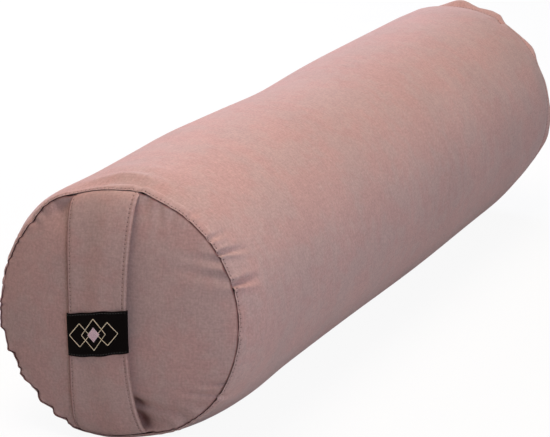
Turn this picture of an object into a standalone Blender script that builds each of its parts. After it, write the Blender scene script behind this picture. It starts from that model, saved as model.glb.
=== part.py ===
"""Round yoga bolster: a zipped cloth cover with a carrying handle, round a filled inner cushion.

Metres, +Z up. The bolster lies along Y on its flattened underside, with its handle end facing -Y.
Every cloth layer is first turned round the straight axis of a new bolster, as if it weighed nothing,
and settle() then spreads it, flattens its underside and leans its ends. The rigid zip pieces are
built flat in the zip's own axes (X across the zip, Y along it, Z out of the cover).
"""

import math

import bmesh
import bpy
from mathutils import Matrix, Vector

# Bolster before it settles
SEAM_TO_SEAM = 0.70
BODY_RADIUS = 0.105
SHOULDER_DROP = 0.0074
FRONT_SHOULDER = 0.034
REAR_SHOULDER = 0.050
END_CROWN = 0.010
SIDES = 48

# Settling on the floor
SPREAD = 1.015
FLATTENING = 0.0032
END_LIFT = 0.005
END_LIFT_REACH = 0.04
END_LIFT_RING = 0.085
END_FLATNESS = 20
LEAN_LENGTH = 0.13
FRONT_LEAN_UP = 0.109
FRONT_LEAN_SIDE = 0.056
REAR_LEAN_UP = 0.124
REAR_LEAN_SIDE = -0.063

# Cloth
COVER_CLOTH = 0.0012
LINER_CLOTH = 0.0010
CLOTH_GAP = 0.0004
SEW_GAP = 0.0003
SEAM_ALLOWANCE = 0.009
RIM_BEND = 0.0015
SEAM_RIDGE_HEIGHT = 0.0010
SEAM_RIDGE_WIDTH = 0.008
PUCKER_COUNT = 12
PUCKER_WAVES = 3
PUCKER_DEPTH = 0.0015
PUCKER_REACH = 0.06
REAR_PUCKER_TURN = 1.3
RELIEF_RAMP = 0.05

# Handle
HANDLE_WIDTH = 0.050
HANDLE_END_WIDTH = 0.060
HANDLE_FLARE = 3
HANDLE_THICKNESS = 0.0022
HANDLE_RISE = 0.019
HANDLE_TOP_OFFSET = -0.0127
HANDLE_FOOT_OFFSET = 0.001
HANDLE_TAIL = 0.008
LABEL_LENGTH = 0.0345
LABEL_DROP = 0.0072
LABEL_TILT = 0.188
LABEL_THICKNESS = 0.0006

# Zip
ZIP_ANGLE = math.radians(172)
ZIP_CENTRE = 0.35
CHAIN_LENGTH = 0.38
TOOTH_PITCH = 0.0032
TOOTH_NECK = 0.0011
TOOTH_HEAD = 0.0015
TOOTH_OVERLAP = 0.0009
CORD_WIDTH = 0.0018
CHAIN_THICKNESS = 0.0026
TAPE_WIDTH = 0.0135
TAPE_THICKNESS = 0.0008
TAPE_TAIL = 0.005
STOP_LENGTH = 0.003
STOP_WIDTH = 0.0022
SLOT_WIDTH = 0.012
SLIDER_LENGTH = 0.012
SLIDER_PLATE = 0.0010
SLIDER_FLANGE = 0.0011
SLIDER_MOUTH_FLARE = 0.0004
DIAMOND_LENGTH = 0.003
BRIDGE_WIDTH = 0.0020
BRIDGE_BAR = 0.0012
BRIDGE_WINDOW = 0.0038
PULL_WIDTH = 0.008
PULL_LENGTH = 0.030
PULL_THICKNESS = 0.0013
PULL_EYE_WIDTH = 0.0032
PULL_EYE_LENGTH = 0.0037
PULL_CORNER_SHARE = 0.9
RUNNING_GAP = 0.0003
JOIN_OVERLAP = 0.0001

# How finely the surfaces are divided
MERGE_DISTANCE = 1e-6
DISC_RINGS = (0.0, 0.35, 0.65, 0.88)
FILL_RING = 0.6
SHOULDER_STATION = 0.7
HANDLE_COLUMNS = 6
HANDLE_TURNS = (0, 8, 18, 30, 45, 60, 75, 90)
LABEL_ROWS = 7
LABEL_CREASE = 0.34
CORNER_STEPS = 4

# Worked out from the sizes above
SEAM_RADIUS = BODY_RADIUS - SHOULDER_DROP
CENTRE_HEIGHT = BODY_RADIUS / SPREAD - FLATTENING
LINER_INSET = COVER_CLOTH + CLOTH_GAP
FILL_INSET = LINER_INSET + LINER_CLOTH + CLOTH_GAP
FLANGE_RADIUS = SEAM_RADIUS - COVER_CLOTH - SEW_GAP
HANDLE_RELIEF = HANDLE_THICKNESS + 2 * SEW_GAP
LINER_END_RADIUS = FLANGE_RADIUS - HANDLE_RELIEF - COVER_CLOTH - CLOTH_GAP
LINER_FLANGE_RADIUS = LINER_END_RADIUS - LINER_CLOTH - SEW_GAP
FILL_END_RADIUS = LINER_FLANGE_RADIUS - LINER_CLOTH - CLOTH_GAP
FACET = 2 * math.pi / SIDES
TAPE_INSET = COVER_CLOTH + CLOTH_GAP
CHAIN_INSET = TAPE_INSET + TAPE_THICKNESS / 2
TOOTH_COUNT = int(CHAIN_LENGTH / TOOTH_PITCH)
CORD_INNER = TOOTH_OVERLAP + RUNNING_GAP
CORD_OUTER = CORD_INNER + CORD_WIDTH
TAPE_EDGE = CORD_OUTER + SEW_GAP
CHAIN_START = ZIP_CENTRE - CHAIN_LENGTH / 2
PLATE_LOW = CHAIN_THICKNESS / 2 + RUNNING_GAP
PLATE_HIGH = PLATE_LOW + SLIDER_PLATE
SLIDER_HALF = CORD_OUTER + RUNNING_GAP + SLIDER_FLANGE
SLIDER_CENTRE = CHAIN_START - RUNNING_GAP - DIAMOND_LENGTH + SLIDER_LENGTH / 2
STOP_FRONT = SLIDER_CENTRE - SLIDER_LENGTH / 2 - RUNNING_GAP - STOP_LENGTH
STOP_REAR = CHAIN_START + CHAIN_LENGTH + RUNNING_GAP
PULL_AXIS = PLATE_HIGH + PULL_THICKNESS / math.sqrt(2) + RUNNING_GAP
TAPE_FRONT = STOP_FRONT - TAPE_TAIL
TAPE_REAR = STOP_REAR + STOP_LENGTH + TAPE_TAIL
LINER_STEP = SEAM_ALLOWANCE + CLOTH_GAP + SEAM_RIDGE_WIDTH / 2
SHOULDER_STATIONS = [SHOULDER_STATION * FRONT_SHOULDER, PUCKER_REACH]


def clear_scene():
    """Remove whatever the open file holds."""
    for obj in list(bpy.data.objects):
        bpy.data.objects.remove(obj, do_unlink=True)


def new_collection(name):
    """Add a collection to the scene."""
    collection = bpy.data.collections.new(name)
    bpy.context.scene.collection.children.link(collection)
    return collection


def make_material(name, colour, roughness, metallic=0.0):
    """Make a plain Principled material."""
    material = bpy.data.materials.new(name)
    material.use_nodes = True
    shader = material.node_tree.nodes["Principled BSDF"]
    shader.inputs["Base Color"].default_value = (*colour, 1.0)
    shader.inputs["Roughness"].default_value = roughness
    shader.inputs["Metallic"].default_value = metallic
    material.diffuse_color = (*colour, 1.0)
    return material


def add_object(name, mesh, collection, material=None, smooth=False):
    """Put a mesh in the scene under a name."""
    obj = bpy.data.objects.new(name, mesh)
    collection.objects.link(obj)
    if material:
        mesh.materials.append(material)
    if smooth:
        mesh.shade_smooth()
        mesh.set_sharp_from_angle(angle=math.radians(50))
    return obj


def mesh_from(bm, name):
    """Turn a bmesh into a mesh and free it."""
    mesh = bpy.data.meshes.new(name)
    bm.to_mesh(mesh)
    bm.free()
    return mesh


def give_thickness(obj, thickness):
    """Thicken an open surface inwards into a cloth layer."""
    solidify = obj.modifiers.new("cloth", "SOLIDIFY")
    solidify.thickness = thickness
    solidify.offset = -1
    solidify.use_even_offset = True


def add_boolean(obj, other, operation):
    """Cut or join another object into this one."""
    boolean = obj.modifiers.new(f"{operation.lower()} {other.name}", "BOOLEAN")
    boolean.operation = operation
    boolean.object = other
    boolean.solver = "EXACT"


def make_helper(obj):
    """Mark an object as a cutter or a shape to join, which isn't a piece of its own."""
    obj.hide_render = True
    obj.display_type = "WIRE"


def from_seam(along):
    """Distance from the nearer end seam."""
    return min(along, SEAM_TO_SEAM - along)


def cover_radius(along):
    """Radius of the cover's outer skin, with its shoulders and the ridges at its end seams."""
    inward = max(from_seam(along), 0.0)
    shoulder = FRONT_SHOULDER if along < SEAM_TO_SEAM / 2 else REAR_SHOULDER
    short_of = 1 - min(inward / shoulder, 1.0)
    radius = BODY_RADIUS - SHOULDER_DROP * short_of ** 2
    if inward < SEAM_RIDGE_WIDTH:
        radius += SEAM_RIDGE_HEIGHT * math.sin(math.pi * inward / SEAM_RIDGE_WIDTH)
    return radius


def pucker(angle, along):
    """How far the gathered cloth dips in beside an end seam."""
    inward = from_seam(along)
    if not SEAM_RIDGE_WIDTH / 2 < inward < PUCKER_REACH:
        return 0.0
    fade = 1 - inward / PUCKER_REACH
    phase = 0.0 if along < SEAM_TO_SEAM / 2 else REAR_PUCKER_TURN
    strength = (3 + 2 * math.cos(PUCKER_WAVES * angle + 1)) / 5
    return PUCKER_DEPTH * fade * strength * (1 + math.cos(PUCKER_COUNT * angle + phase)) / 2


def turn_between(angle, other):
    """Smallest angle between two directions."""
    return abs(math.remainder(angle - other, 2 * math.pi))


def zip_relief(angle, along):
    """How much deeper the inner cushion lies behind the zip tapes and the slider's back plate."""
    fade = min((along - TAPE_FRONT) / RELIEF_RAMP, (TAPE_REAR - along) / RELIEF_RAMP, 0.0) + 1
    turn = (turn_between(angle, ZIP_ANGLE) - FACET) * BODY_RADIUS
    if fade <= 0 or turn > TAPE_EDGE + TAPE_WIDTH:
        return 0.0
    depth = TAPE_THICKNESS + CLOTH_GAP
    if turn < SLIDER_HALF:
        depth = CHAIN_INSET + PLATE_HIGH + 2 * RUNNING_GAP - LINER_INSET
    return depth * fade


def handle_relief(angle):
    """How far the handle's tails push the end panel's turned edge inwards."""
    reach = HANDLE_END_WIDTH / 2 + FACET * SEAM_RADIUS
    offset = HANDLE_TOP_OFFSET if math.sin(angle) > 0 else HANDLE_FOOT_OFFSET
    across = abs(SEAM_RADIUS * math.cos(angle) - offset)
    return HANDLE_RELIEF if across < reach else 0.0


def underside_rise(side, along, height):
    """How far the seams draw up the underside of the bolster's ends, which leaves it flat there."""
    radius = math.hypot(side, height)
    fade = 1 - from_seam(along) / END_LIFT_REACH
    if height >= 0 or fade <= 0:
        return 0.0
    share = min(radius / END_LIFT_RING, 1.0) ** 2
    return END_LIFT * min(fade, 1.0) * share * (-height / radius) ** END_FLATNESS


def settle_point(point, lift=0.0):
    """Move a point of the weightless bolster to where it lies on the floor.

    point is (side, distance along from the front seam, height over the axis). lift is how far the
    layer's underside stays above the floor.
    """
    side = point[0] * SPREAD
    height = point[2] / SPREAD + underside_rise(*point)
    along = point[1]
    front = min(max(1 - along / LEAN_LENGTH, 0.0), 1.0)
    rear = min(max(1 - (SEAM_TO_SEAM - along) / LEAN_LENGTH, 0.0), 1.0)
    along += front * (FRONT_LEAN_UP * height + FRONT_LEAN_SIDE * side)
    along += rear * (REAR_LEAN_UP * height + REAR_LEAN_SIDE * side)
    return Vector((side, along - SEAM_TO_SEAM / 2, max(height + CENTRE_HEIGHT, lift)))


def settle(bm, lift=0.0):
    """Settle every point of a cloth layer."""
    for vert in bm.verts:
        vert.co = settle_point(vert.co, lift)


def lathe(profile, inset_at=None):
    """Spin (along, radius) points round the bolster's axis, with its faces pointing out.

    The profile runs from front to rear. A point on the axis becomes a pole. inset_at(angle, along)
    draws each turned point in towards the axis.
    """
    bm = bmesh.new()
    start = ZIP_ANGLE + FACET / 2
    verts = [
        bm.verts.new((radius * math.cos(start), along, radius * math.sin(start)))
        for along, radius in profile
    ]
    edges = [bm.edges.new(pair) for pair in zip(verts, verts[1:])]
    bmesh.ops.spin(
        bm, geom=verts + edges, axis=(0, 1, 0), cent=(0, 0, 0), angle=2 * math.pi, steps=SIDES, use_merge=True,
    )
    bmesh.ops.remove_doubles(bm, verts=bm.verts, dist=MERGE_DISTANCE)
    if inset_at:
        for vert in bm.verts:
            radius = math.hypot(vert.co.x, vert.co.z)
            if radius > MERGE_DISTANCE:
                inset = inset_at(math.atan2(vert.co.z, vert.co.x), vert.co.y)
                vert.co.x *= 1 - inset / radius
                vert.co.z *= 1 - inset / radius
    bmesh.ops.recalc_face_normals(bm, faces=bm.faces)
    return bm


def face_outwards(bm, outwards):
    """Turn an open surface round if a sample face looks the wrong way."""
    bm.normal_update()
    face = max(bm.faces, key=lambda f: f.calc_center_median().dot(outwards))
    if face.normal.dot(outwards) < 0:
        bmesh.ops.reverse_faces(bm, faces=bm.faces)


def both_ends(stations):
    """Stations given from one seam, repeated from the other."""
    return sorted(stations + [SEAM_TO_SEAM - s for s in stations])


def make_body_panel(name, collection, material):
    """The cover's long tube of cloth."""
    ridge = [0.0, SEAM_RIDGE_WIDTH / 2, SEAM_RIDGE_WIDTH]
    stations = both_ends(ridge + SHOULDER_STATIONS + [LEAN_LENGTH])
    bm = lathe([(s, cover_radius(s)) for s in stations], pucker)
    face_outwards(bm, Vector((0, 0, 1)))
    settle(bm)
    obj = add_object(name, mesh_from(bm, name), collection, material, smooth=True)
    give_thickness(obj, COVER_CLOTH)
    return obj


def end_face(radius, rim):
    """How far an end panel stands out of its seam's plane at a distance from the axis."""
    return END_CROWN * max(1 - (radius / rim) ** 2, 0.0)


def end_cup(rim, face, flange, lift, relief=None, rear=False):
    """A crowned disc whose edge is turned in along the tube: an end panel's outer surface.

    rim is the turned edge's radius, face(radius) the disc's place in front of the seam's plane, and
    flange how far the turned edge reaches along the tube.
    """
    profile = [(-face(share * rim), share * rim) for share in DISC_RINGS]
    profile.append((-face(rim - RIM_BEND), rim - RIM_BEND))
    profile.append((RIM_BEND - face(rim), rim))
    profile.append((flange, rim))
    if rear:
        profile = [(SEAM_TO_SEAM - along, radius) for along, radius in reversed(profile)]
    bm = lathe(profile)
    for vert in bm.verts:
        radius = math.hypot(vert.co.x, vert.co.z)
        if relief and radius > rim - 2 * RIM_BEND:
            shift = relief(math.atan2(vert.co.z, vert.co.x)) / radius
            vert.co.x *= 1 - shift
            vert.co.z *= 1 - shift
    face_outwards(bm, Vector((0, 1 if rear else -1, 0)))
    settle(bm, lift)
    return bm


def make_end_panel(name, collection, material, rear=False):
    """A round end panel of the cover, with its seam allowance turned into the tube."""
    def face(radius):
        return end_face(radius, FLANGE_RADIUS)

    relief = None if rear else handle_relief
    bm = end_cup(FLANGE_RADIUS, face, SEAM_ALLOWANCE, 0.0, relief, rear)
    obj = add_object(name, mesh_from(bm, name), collection, material, smooth=True)
    give_thickness(obj, COVER_CLOTH)
    return obj


def liner_radius(along):
    """Radius of the inner cushion's liner: the cover's inside, and narrower inside its end seams."""
    if from_seam(along) < LINER_STEP + MERGE_DISTANCE:
        return LINER_END_RADIUS
    return cover_radius(along) - LINER_INSET


def liner_face(radius):
    """Place of the liner's end panel in front of the seam's plane, behind the cover's."""
    return end_face(radius, FLANGE_RADIUS) - COVER_CLOTH - CLOTH_GAP - RIM_BEND


def fill_face(radius):
    """Place of the filling's end in front of the seam's plane, behind the liner's."""
    return liner_face(radius) - LINER_CLOTH - CLOTH_GAP - RIM_BEND


def inner_inset(angle, along):
    """What the inner cushion gives way to, past its narrow ends: the cover's puckers and the zip."""
    if from_seam(along) < FRONT_SHOULDER / 2:
        return 0.0
    return pucker(angle, along) + zip_relief(angle, along)


def inner_stations(mouth):
    """Stations of the inner cushion from its end to its middle, the same for liner and filling."""
    near = [mouth, LINER_STEP] + SHOULDER_STATIONS
    middle = [TAPE_FRONT - CLOTH_GAP, TAPE_REAR + CLOTH_GAP]
    return sorted(near + middle + [SEAM_TO_SEAM - s for s in near])


def make_liner_tube(name, collection, material):
    """The inner cushion's tube, which holds the filling."""
    stations = inner_stations(-liner_face(LINER_END_RADIUS))
    bm = lathe([(s, liner_radius(s)) for s in stations], inner_inset)
    face_outwards(bm, Vector((0, 0, 1)))
    settle(bm, LINER_INSET)
    obj = add_object(name, mesh_from(bm, name), collection, material, smooth=True)
    give_thickness(obj, LINER_CLOTH)
    return obj


def make_liner_end(name, collection, material, rear=False):
    """A round end panel of the liner, with its edge turned into the liner's tube."""
    bm = end_cup(LINER_FLANGE_RADIUS, liner_face, SEAM_ALLOWANCE, LINER_INSET, None, rear)
    obj = add_object(name, mesh_from(bm, name), collection, material, smooth=True)
    give_thickness(obj, LINER_CLOTH)
    return obj


def make_filling(name, collection, material):
    """The filling, packed into the liner: its skin lies one liner's thickness inside the liner's."""
    inset = FILL_INSET - LINER_INSET
    near = inner_stations(0.0)[1:-1]
    half = len(near) // 2
    rings = (0.0, FILL_RING * FILL_END_RADIUS, FILL_END_RADIUS)
    front = [(-fill_face(radius), radius) for radius in rings]
    rear = [(SEAM_TO_SEAM - along, radius) for along, radius in reversed(front)]
    shifted = [(s + inset, s) for s in near[:half]] + [(s - inset, s) for s in near[half:]]
    body = [(place, liner_radius(s) - inset) for place, s in shifted]
    body[0] = (body[0][0], FILL_END_RADIUS)
    body[-1] = (body[-1][0], FILL_END_RADIUS)
    bm = lathe(front + body + rear, inner_inset)
    face_outwards(bm, Vector((0, 0, 1)))
    settle(bm, FILL_INSET)
    return add_object(name, mesh_from(bm, name), collection, material, smooth=True)


def handle_half_width(turn):
    """Half the handle's width, which grows towards both its ends."""
    share = abs(math.cos(turn)) ** HANDLE_FLARE
    return (HANDLE_WIDTH + (HANDLE_END_WIDTH - HANDLE_WIDTH) * share) / 2


def handle_side(across, turn):
    """Distance to the side of the axis: the handle is sewn on a little aslant."""
    share = (1 - math.cos(turn)) / 2
    offset = HANDLE_TOP_OFFSET + (HANDLE_FOOT_OFFSET - HANDLE_TOP_OFFSET) * share
    return offset + across * handle_half_width(turn)


def handle_seat(side):
    """Height over the axis at which the middle of the handle's thickness enters the seam."""
    facet_slack = FLANGE_RADIUS * (1 - math.cos(FACET / 2))
    radius = FLANGE_RADIUS - facet_slack - HANDLE_THICKNESS / 2
    return math.sqrt(radius ** 2 - side ** 2)


def handle_point(across, turn, lift=0.0):
    """Point of the weightless handle: across is -1 to 1, turn 0 at the top seam to pi at the bottom.

    lift moves it off the middle of the handle's thickness, away from the end panel.
    """
    side = handle_side(across, turn)
    seat = handle_seat(side)
    out = Vector((0, -seat * math.sin(turn), HANDLE_RISE * math.cos(turn))).normalized()
    place = Vector((side, -HANDLE_RISE * math.sin(turn), seat * math.cos(turn)))
    return place + lift * out


def handle_rows():
    """Turns of the handle's rows, closer together where it bends out of the seams."""
    bend = [math.radians(turn) for turn in HANDLE_TURNS]
    return bend + [math.pi - turn for turn in reversed(bend[:-1])]


def make_handle(name, collection, material):
    """The flat strap over the front end panel, with both tails sewn into the seam."""
    rows = handle_rows()
    bm = bmesh.new()
    bmesh.ops.create_grid(bm, x_segments=HANDLE_COLUMNS, y_segments=len(rows) + 1, size=1)
    for vert in bm.verts:
        row = round((vert.co.y + 1) / 2 * (len(rows) + 1))
        turn = rows[min(max(row - 1, 0), len(rows) - 1)]
        place = handle_point(vert.co.x, turn)
        if row in (0, len(rows) + 1):
            place.y += HANDLE_TAIL
        vert.co = place
    face_outwards(bm, Vector((0, -1, 0)))
    settle(bm)
    obj = add_object(name, mesh_from(bm, name), collection, material, smooth=True)
    solidify = obj.modifiers.new("cloth", "SOLIDIFY")
    solidify.thickness = HANDLE_THICKNESS
    solidify.offset = 0
    solidify.use_even_offset = True
    return obj


def make_label(name, collection, material):
    """The woven band round the handle, a closed sleeve."""
    lift = HANDLE_THICKNESS / 2 + SEW_GAP
    bm = bmesh.new()
    loops = []
    for row in range(LABEL_ROWS):
        distance = LABEL_DROP + LABEL_LENGTH * (row / (LABEL_ROWS - 1) - 0.5)
        turn = math.pi / 2 + distance / SEAM_RADIUS
        half = handle_half_width(turn)
        edge = 1 + SEW_GAP / half
        ring = [(across, lift) for across in (-edge, -LABEL_CREASE, LABEL_CREASE, edge)]
        ring += [(across, -lift) for across, _ in reversed(ring)]
        verts = []
        for across, rise in ring:
            tilted = turn - LABEL_TILT * across * half / SEAM_RADIUS
            verts.append(bm.verts.new(handle_point(across, tilted, rise)))
        loops.append([bm.edges.new((vert, verts[i - 1])) for i, vert in enumerate(verts)])
    for loop, after in zip(loops, loops[1:]):
        bmesh.ops.bridge_loops(bm, edges=loop + after)
    bmesh.ops.recalc_face_normals(bm, faces=bm.faces)
    face_outwards(bm, Vector((0, -1, 0)))
    settle(bm)
    obj = add_object(name, mesh_from(bm, name), collection, material, smooth=True)
    solidify = obj.modifiers.new("cloth", "SOLIDIFY")
    solidify.thickness = LABEL_THICKNESS
    solidify.offset = 1
    solidify.use_even_offset = True
    return obj


def zip_frame():
    """The zip's own axes: X across it, Y along it from the front seam, Z out of the cover."""
    radius = BODY_RADIUS - CHAIN_INSET

    def on_section(turn):
        angle = ZIP_ANGLE + turn
        return settle_point((radius * math.cos(angle), SEAM_TO_SEAM / 2, radius * math.sin(angle)))

    middle = on_section(0.0)
    across = (on_section(-FACET) - on_section(FACET)).normalized()
    along = Vector((0, 1, 0))
    out = across.cross(along)
    middle.y = -SEAM_TO_SEAM / 2
    frame = Matrix((across, along, out)).transposed().to_4x4()
    frame.translation = middle
    return frame


def block(low, high):
    """A box between two corners."""
    bm = bmesh.new()
    bmesh.ops.create_cube(bm, size=1)
    for vert in bm.verts:
        vert.co = Vector([(low[i] + high[i]) / 2 + vert.co[i] * (high[i] - low[i]) for i in range(3)])
    return bm


def plate(outline, low, high):
    """A flat outline in the zip's X and Y given a thickness along Z."""
    bm = bmesh.new()
    face = bm.faces.new([bm.verts.new((x, y, low)) for x, y in outline])
    top = bmesh.ops.extrude_face_region(bm, geom=[face])
    moved = [v for v in top["geom"] if isinstance(v, bmesh.types.BMVert)]
    bmesh.ops.translate(bm, verts=moved, vec=(0, 0, high - low))
    bmesh.ops.recalc_face_normals(bm, faces=bm.faces)
    return bm


def place_in_zip(obj, frame, along=0.0, out=0.0):
    """Put an object's origin at a place in the zip's axes."""
    obj.matrix_world = frame @ Matrix.Translation((0, along, out))


def make_tape(name, side, collection, material):
    """One half of the zip's woven tape, bent to lie against the cover's inside. side is -1 or 1."""
    radius = BODY_RADIUS - TAPE_INSET
    edges = (TAPE_EDGE, BODY_RADIUS * FACET / 2, TAPE_EDGE + TAPE_WIDTH / 2, TAPE_EDGE + TAPE_WIDTH)
    bm = bmesh.new()
    columns = []
    for across in edges:
        angle = ZIP_ANGLE - side * across / radius
        point = (radius * math.cos(angle), radius * math.sin(angle))
        columns.append([bm.verts.new((point[0], y, point[1])) for y in (TAPE_FRONT, TAPE_REAR)])
    for first, after in zip(columns, columns[1:]):
        bm.faces.new((first[0], first[1], after[1], after[0]))
    face_outwards(bm, Vector((math.cos(ZIP_ANGLE), 0, math.sin(ZIP_ANGLE))))
    settle(bm)
    obj = add_object(name, mesh_from(bm, name), collection, material)
    give_thickness(obj, TAPE_THICKNESS)
    return obj


def make_teeth(name, side, frame, collection, material):
    """One half of the chain: a cord with its row of teeth, set half a pitch from the other half's."""
    count = TOOTH_COUNT - (side > 0)
    first = CHAIN_START + TOOTH_PITCH / 4 + (TOOTH_PITCH / 2 if side > 0 else 0)
    front = STOP_FRONT + STOP_LENGTH + RUNNING_GAP
    rear = STOP_REAR - RUNNING_GAP
    outline = [(CORD_OUTER, front), (CORD_INNER, front)]
    for i in range(count):
        middle = first + TOOTH_PITCH * i + TOOTH_PITCH / 4
        outline.append((CORD_INNER, middle - TOOTH_NECK / 2))
        outline.append((-TOOTH_OVERLAP, middle - TOOTH_HEAD / 2))
        outline.append((-TOOTH_OVERLAP, middle + TOOTH_HEAD / 2))
        outline.append((CORD_INNER, middle + TOOTH_NECK / 2))
    outline += [(CORD_INNER, rear), (CORD_OUTER, rear)]
    outline = [(x * side, y) for x, y in outline]
    bm = plate(outline, -CHAIN_THICKNESS / 2, CHAIN_THICKNESS / 2)
    obj = add_object(name, mesh_from(bm, name), collection, material)
    place_in_zip(obj, frame)
    return obj


def stop_slot(side, name, cutters, front, frame):
    """Cutter for the slot in a stop that the tape's edge lies in."""
    outer = (TAPE_EDGE + STOP_WIDTH) * 2
    inner = TAPE_EDGE - SEW_GAP
    low, high = sorted((side * inner, side * outer))
    half = TAPE_THICKNESS / 2 + SEW_GAP
    bm = block((low, front - STOP_LENGTH, -half), (high, front + 2 * STOP_LENGTH, half))
    cutter = add_object(f"{name}_slot_{'left' if side < 0 else 'right'}", mesh_from(bm, name), cutters)
    place_in_zip(cutter, frame)
    make_helper(cutter)
    return cutter


def make_stop(name, sides, front, frame, collection, cutters, material):
    """A stop clamped on the tape's edge: one side at the closed end, both at the open end."""
    reach = TAPE_EDGE + STOP_WIDTH
    low = -reach if -1 in sides else RUNNING_GAP
    high = reach if 1 in sides else -RUNNING_GAP
    half = CHAIN_THICKNESS / 2
    bm = block((low, front, -half), (high, front + STOP_LENGTH, half))
    obj = add_object(name, mesh_from(bm, name), collection, material)
    place_in_zip(obj, frame)
    for side in sides:
        add_boolean(obj, stop_slot(side, name, cutters, front, frame), "DIFFERENCE")
    return obj


def make_slider(name, frame, collection, cutters, material):
    """The slider: two plates joined by the diamond, with side flanges and a bridge for the pull."""
    half = SLIDER_LENGTH / 2
    nose = SLIDER_HALF + SLIDER_MOUTH_FLARE
    shield = [(-nose, -half), (-SLIDER_HALF, 0), (-SLIDER_HALF, half - SLIDER_FLANGE)]
    shield += [(-SLIDER_HALF + SLIDER_FLANGE, half)]
    outline = shield + [(-x, y) for x, y in reversed(shield)]
    shapes = [plate(outline, -PLATE_HIGH, -PLATE_LOW)]
    overlap = SLIDER_PLATE / 4
    flange_low = TAPE_THICKNESS / 2 + RUNNING_GAP
    for side in (-1, 1):
        low, high = sorted((side * (SLIDER_HALF - SLIDER_FLANGE), side * (SLIDER_HALF - JOIN_OVERLAP)))
        for up in (-1, 1):
            bottom, top = sorted((up * flange_low, up * (PLATE_LOW + overlap)))
            corner = (low, -half + SLIDER_FLANGE, bottom)
            shapes.append(block(corner, (high, half - 2 * SLIDER_FLANGE, top)))
    wedge = CORD_INNER - RUNNING_GAP
    nearest = -half + JOIN_OVERLAP
    widest = -half + DIAMOND_LENGTH / 3
    diamond = [(-wedge / 2, nearest), (-wedge, widest), (0, -half + DIAMOND_LENGTH)]
    diamond += [(wedge, widest), (wedge / 2, nearest)]
    shapes.append(plate(diamond, -PLATE_LOW - overlap, PLATE_LOW + overlap))
    leg = BRIDGE_WINDOW / 2 + BRIDGE_BAR
    crown = PULL_AXIS + PULL_THICKNESS / 2 + RUNNING_GAP
    foot = PLATE_HIGH - overlap
    for y in (-leg, BRIDGE_WINDOW / 2):
        corner = (-BRIDGE_WIDTH / 2, y, foot)
        shapes.append(block(corner, (BRIDGE_WIDTH / 2, y + BRIDGE_BAR, crown + overlap)))
    shoulder = leg - BRIDGE_BAR / 2
    top = crown + BRIDGE_BAR
    bar = [(-leg, crown), (-shoulder, top), (shoulder, top), (leg, crown)]
    bm = plate(bar, -BRIDGE_WIDTH / 2, BRIDGE_WIDTH / 2)
    stand_up = Matrix(((0, 0, 1, 0), (1, 0, 0, 0), (0, 1, 0, 0), (0, 0, 0, 1)))
    bmesh.ops.transform(bm, matrix=stand_up, verts=bm.verts)
    shapes.append(bm)
    obj = add_object(name, mesh_from(plate(outline, PLATE_LOW, PLATE_HIGH), name), collection, material)
    place_in_zip(obj, frame, SLIDER_CENTRE)
    for i, shape in enumerate(shapes):
        other = add_object(f"{name}_shape_{i}", mesh_from(shape, name), cutters)
        place_in_zip(other, frame, SLIDER_CENTRE)
        make_helper(other)
        add_boolean(obj, other, "UNION")
    return obj


def rounded(half_width, low, high, radius):
    """Corners of a rectangle in X and Y, rounded."""
    outline = []
    corners = ((half_width, high, 0), (-half_width, high, 90), (-half_width, low, 180), (half_width, low, 270))
    for x, y, start in corners:
        centre = (x - math.copysign(radius, x), y - radius if y == high else y + radius)
        for step in range(CORNER_STEPS):
            angle = math.radians(start + 90 * step / (CORNER_STEPS - 1))
            outline.append((centre[0] + radius * math.cos(angle), centre[1] + radius * math.sin(angle)))
    return outline


def make_pull(name, slider, collection, cutters, material):
    """The pull tab, hung in the slider's bridge by the bar at the end of its eye."""
    bar = PULL_THICKNESS / 2
    outline = rounded(PULL_WIDTH / 2, -bar, PULL_LENGTH - bar, bar * PULL_CORNER_SHARE)
    obj = add_object(name, mesh_from(plate(outline, -bar, bar), name), collection, material)
    obj.parent = slider
    obj.location = (0, 0, PULL_AXIS)
    corner = (-PULL_EYE_WIDTH / 2, bar, -PULL_THICKNESS)
    hole = block(corner, (PULL_EYE_WIDTH / 2, bar + PULL_EYE_LENGTH, PULL_THICKNESS))
    eye = add_object(f"{name}_eye", mesh_from(hole, name), cutters)
    eye.parent = slider
    eye.location = (0, 0, PULL_AXIS)
    make_helper(eye)
    add_boolean(obj, eye, "DIFFERENCE")
    return obj


def cut_zip_slot(panel, frame, cutters):
    """Open the body panel over the chain."""
    reach = 4 * (CHAIN_INSET + PLATE_HIGH)
    front = TAPE_FRONT + TAPE_TAIL / 2
    rear = TAPE_REAR - TAPE_TAIL / 2
    bm = block((-SLOT_WIDTH / 2, front, -reach), (SLOT_WIDTH / 2, rear, reach))
    cutter = add_object("zip_slot", mesh_from(bm, "zip_slot"), cutters)
    place_in_zip(cutter, frame)
    make_helper(cutter)
    add_boolean(panel, cutter, "DIFFERENCE")


def centre_footprint(collection):
    """Move the bolster so that the middle of its bounding box stands over the origin."""
    bpy.context.view_layer.update()
    graph = bpy.context.evaluated_depsgraph_get()
    corners = []
    for obj in collection.objects:
        evaluated = obj.evaluated_get(graph)
        mesh = evaluated.to_mesh()
        corners += [evaluated.matrix_world @ v.co for v in mesh.vertices]
        evaluated.to_mesh_clear()
    middle = [(min(c[i] for c in corners) + max(c[i] for c in corners)) / 2 for i in range(2)]
    shift = Matrix.Translation((-middle[0], -middle[1], 0))
    for obj in bpy.data.objects:
        if obj.parent is None:
            obj.matrix_world = shift @ obj.matrix_world
    bpy.context.view_layer.update()


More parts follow.
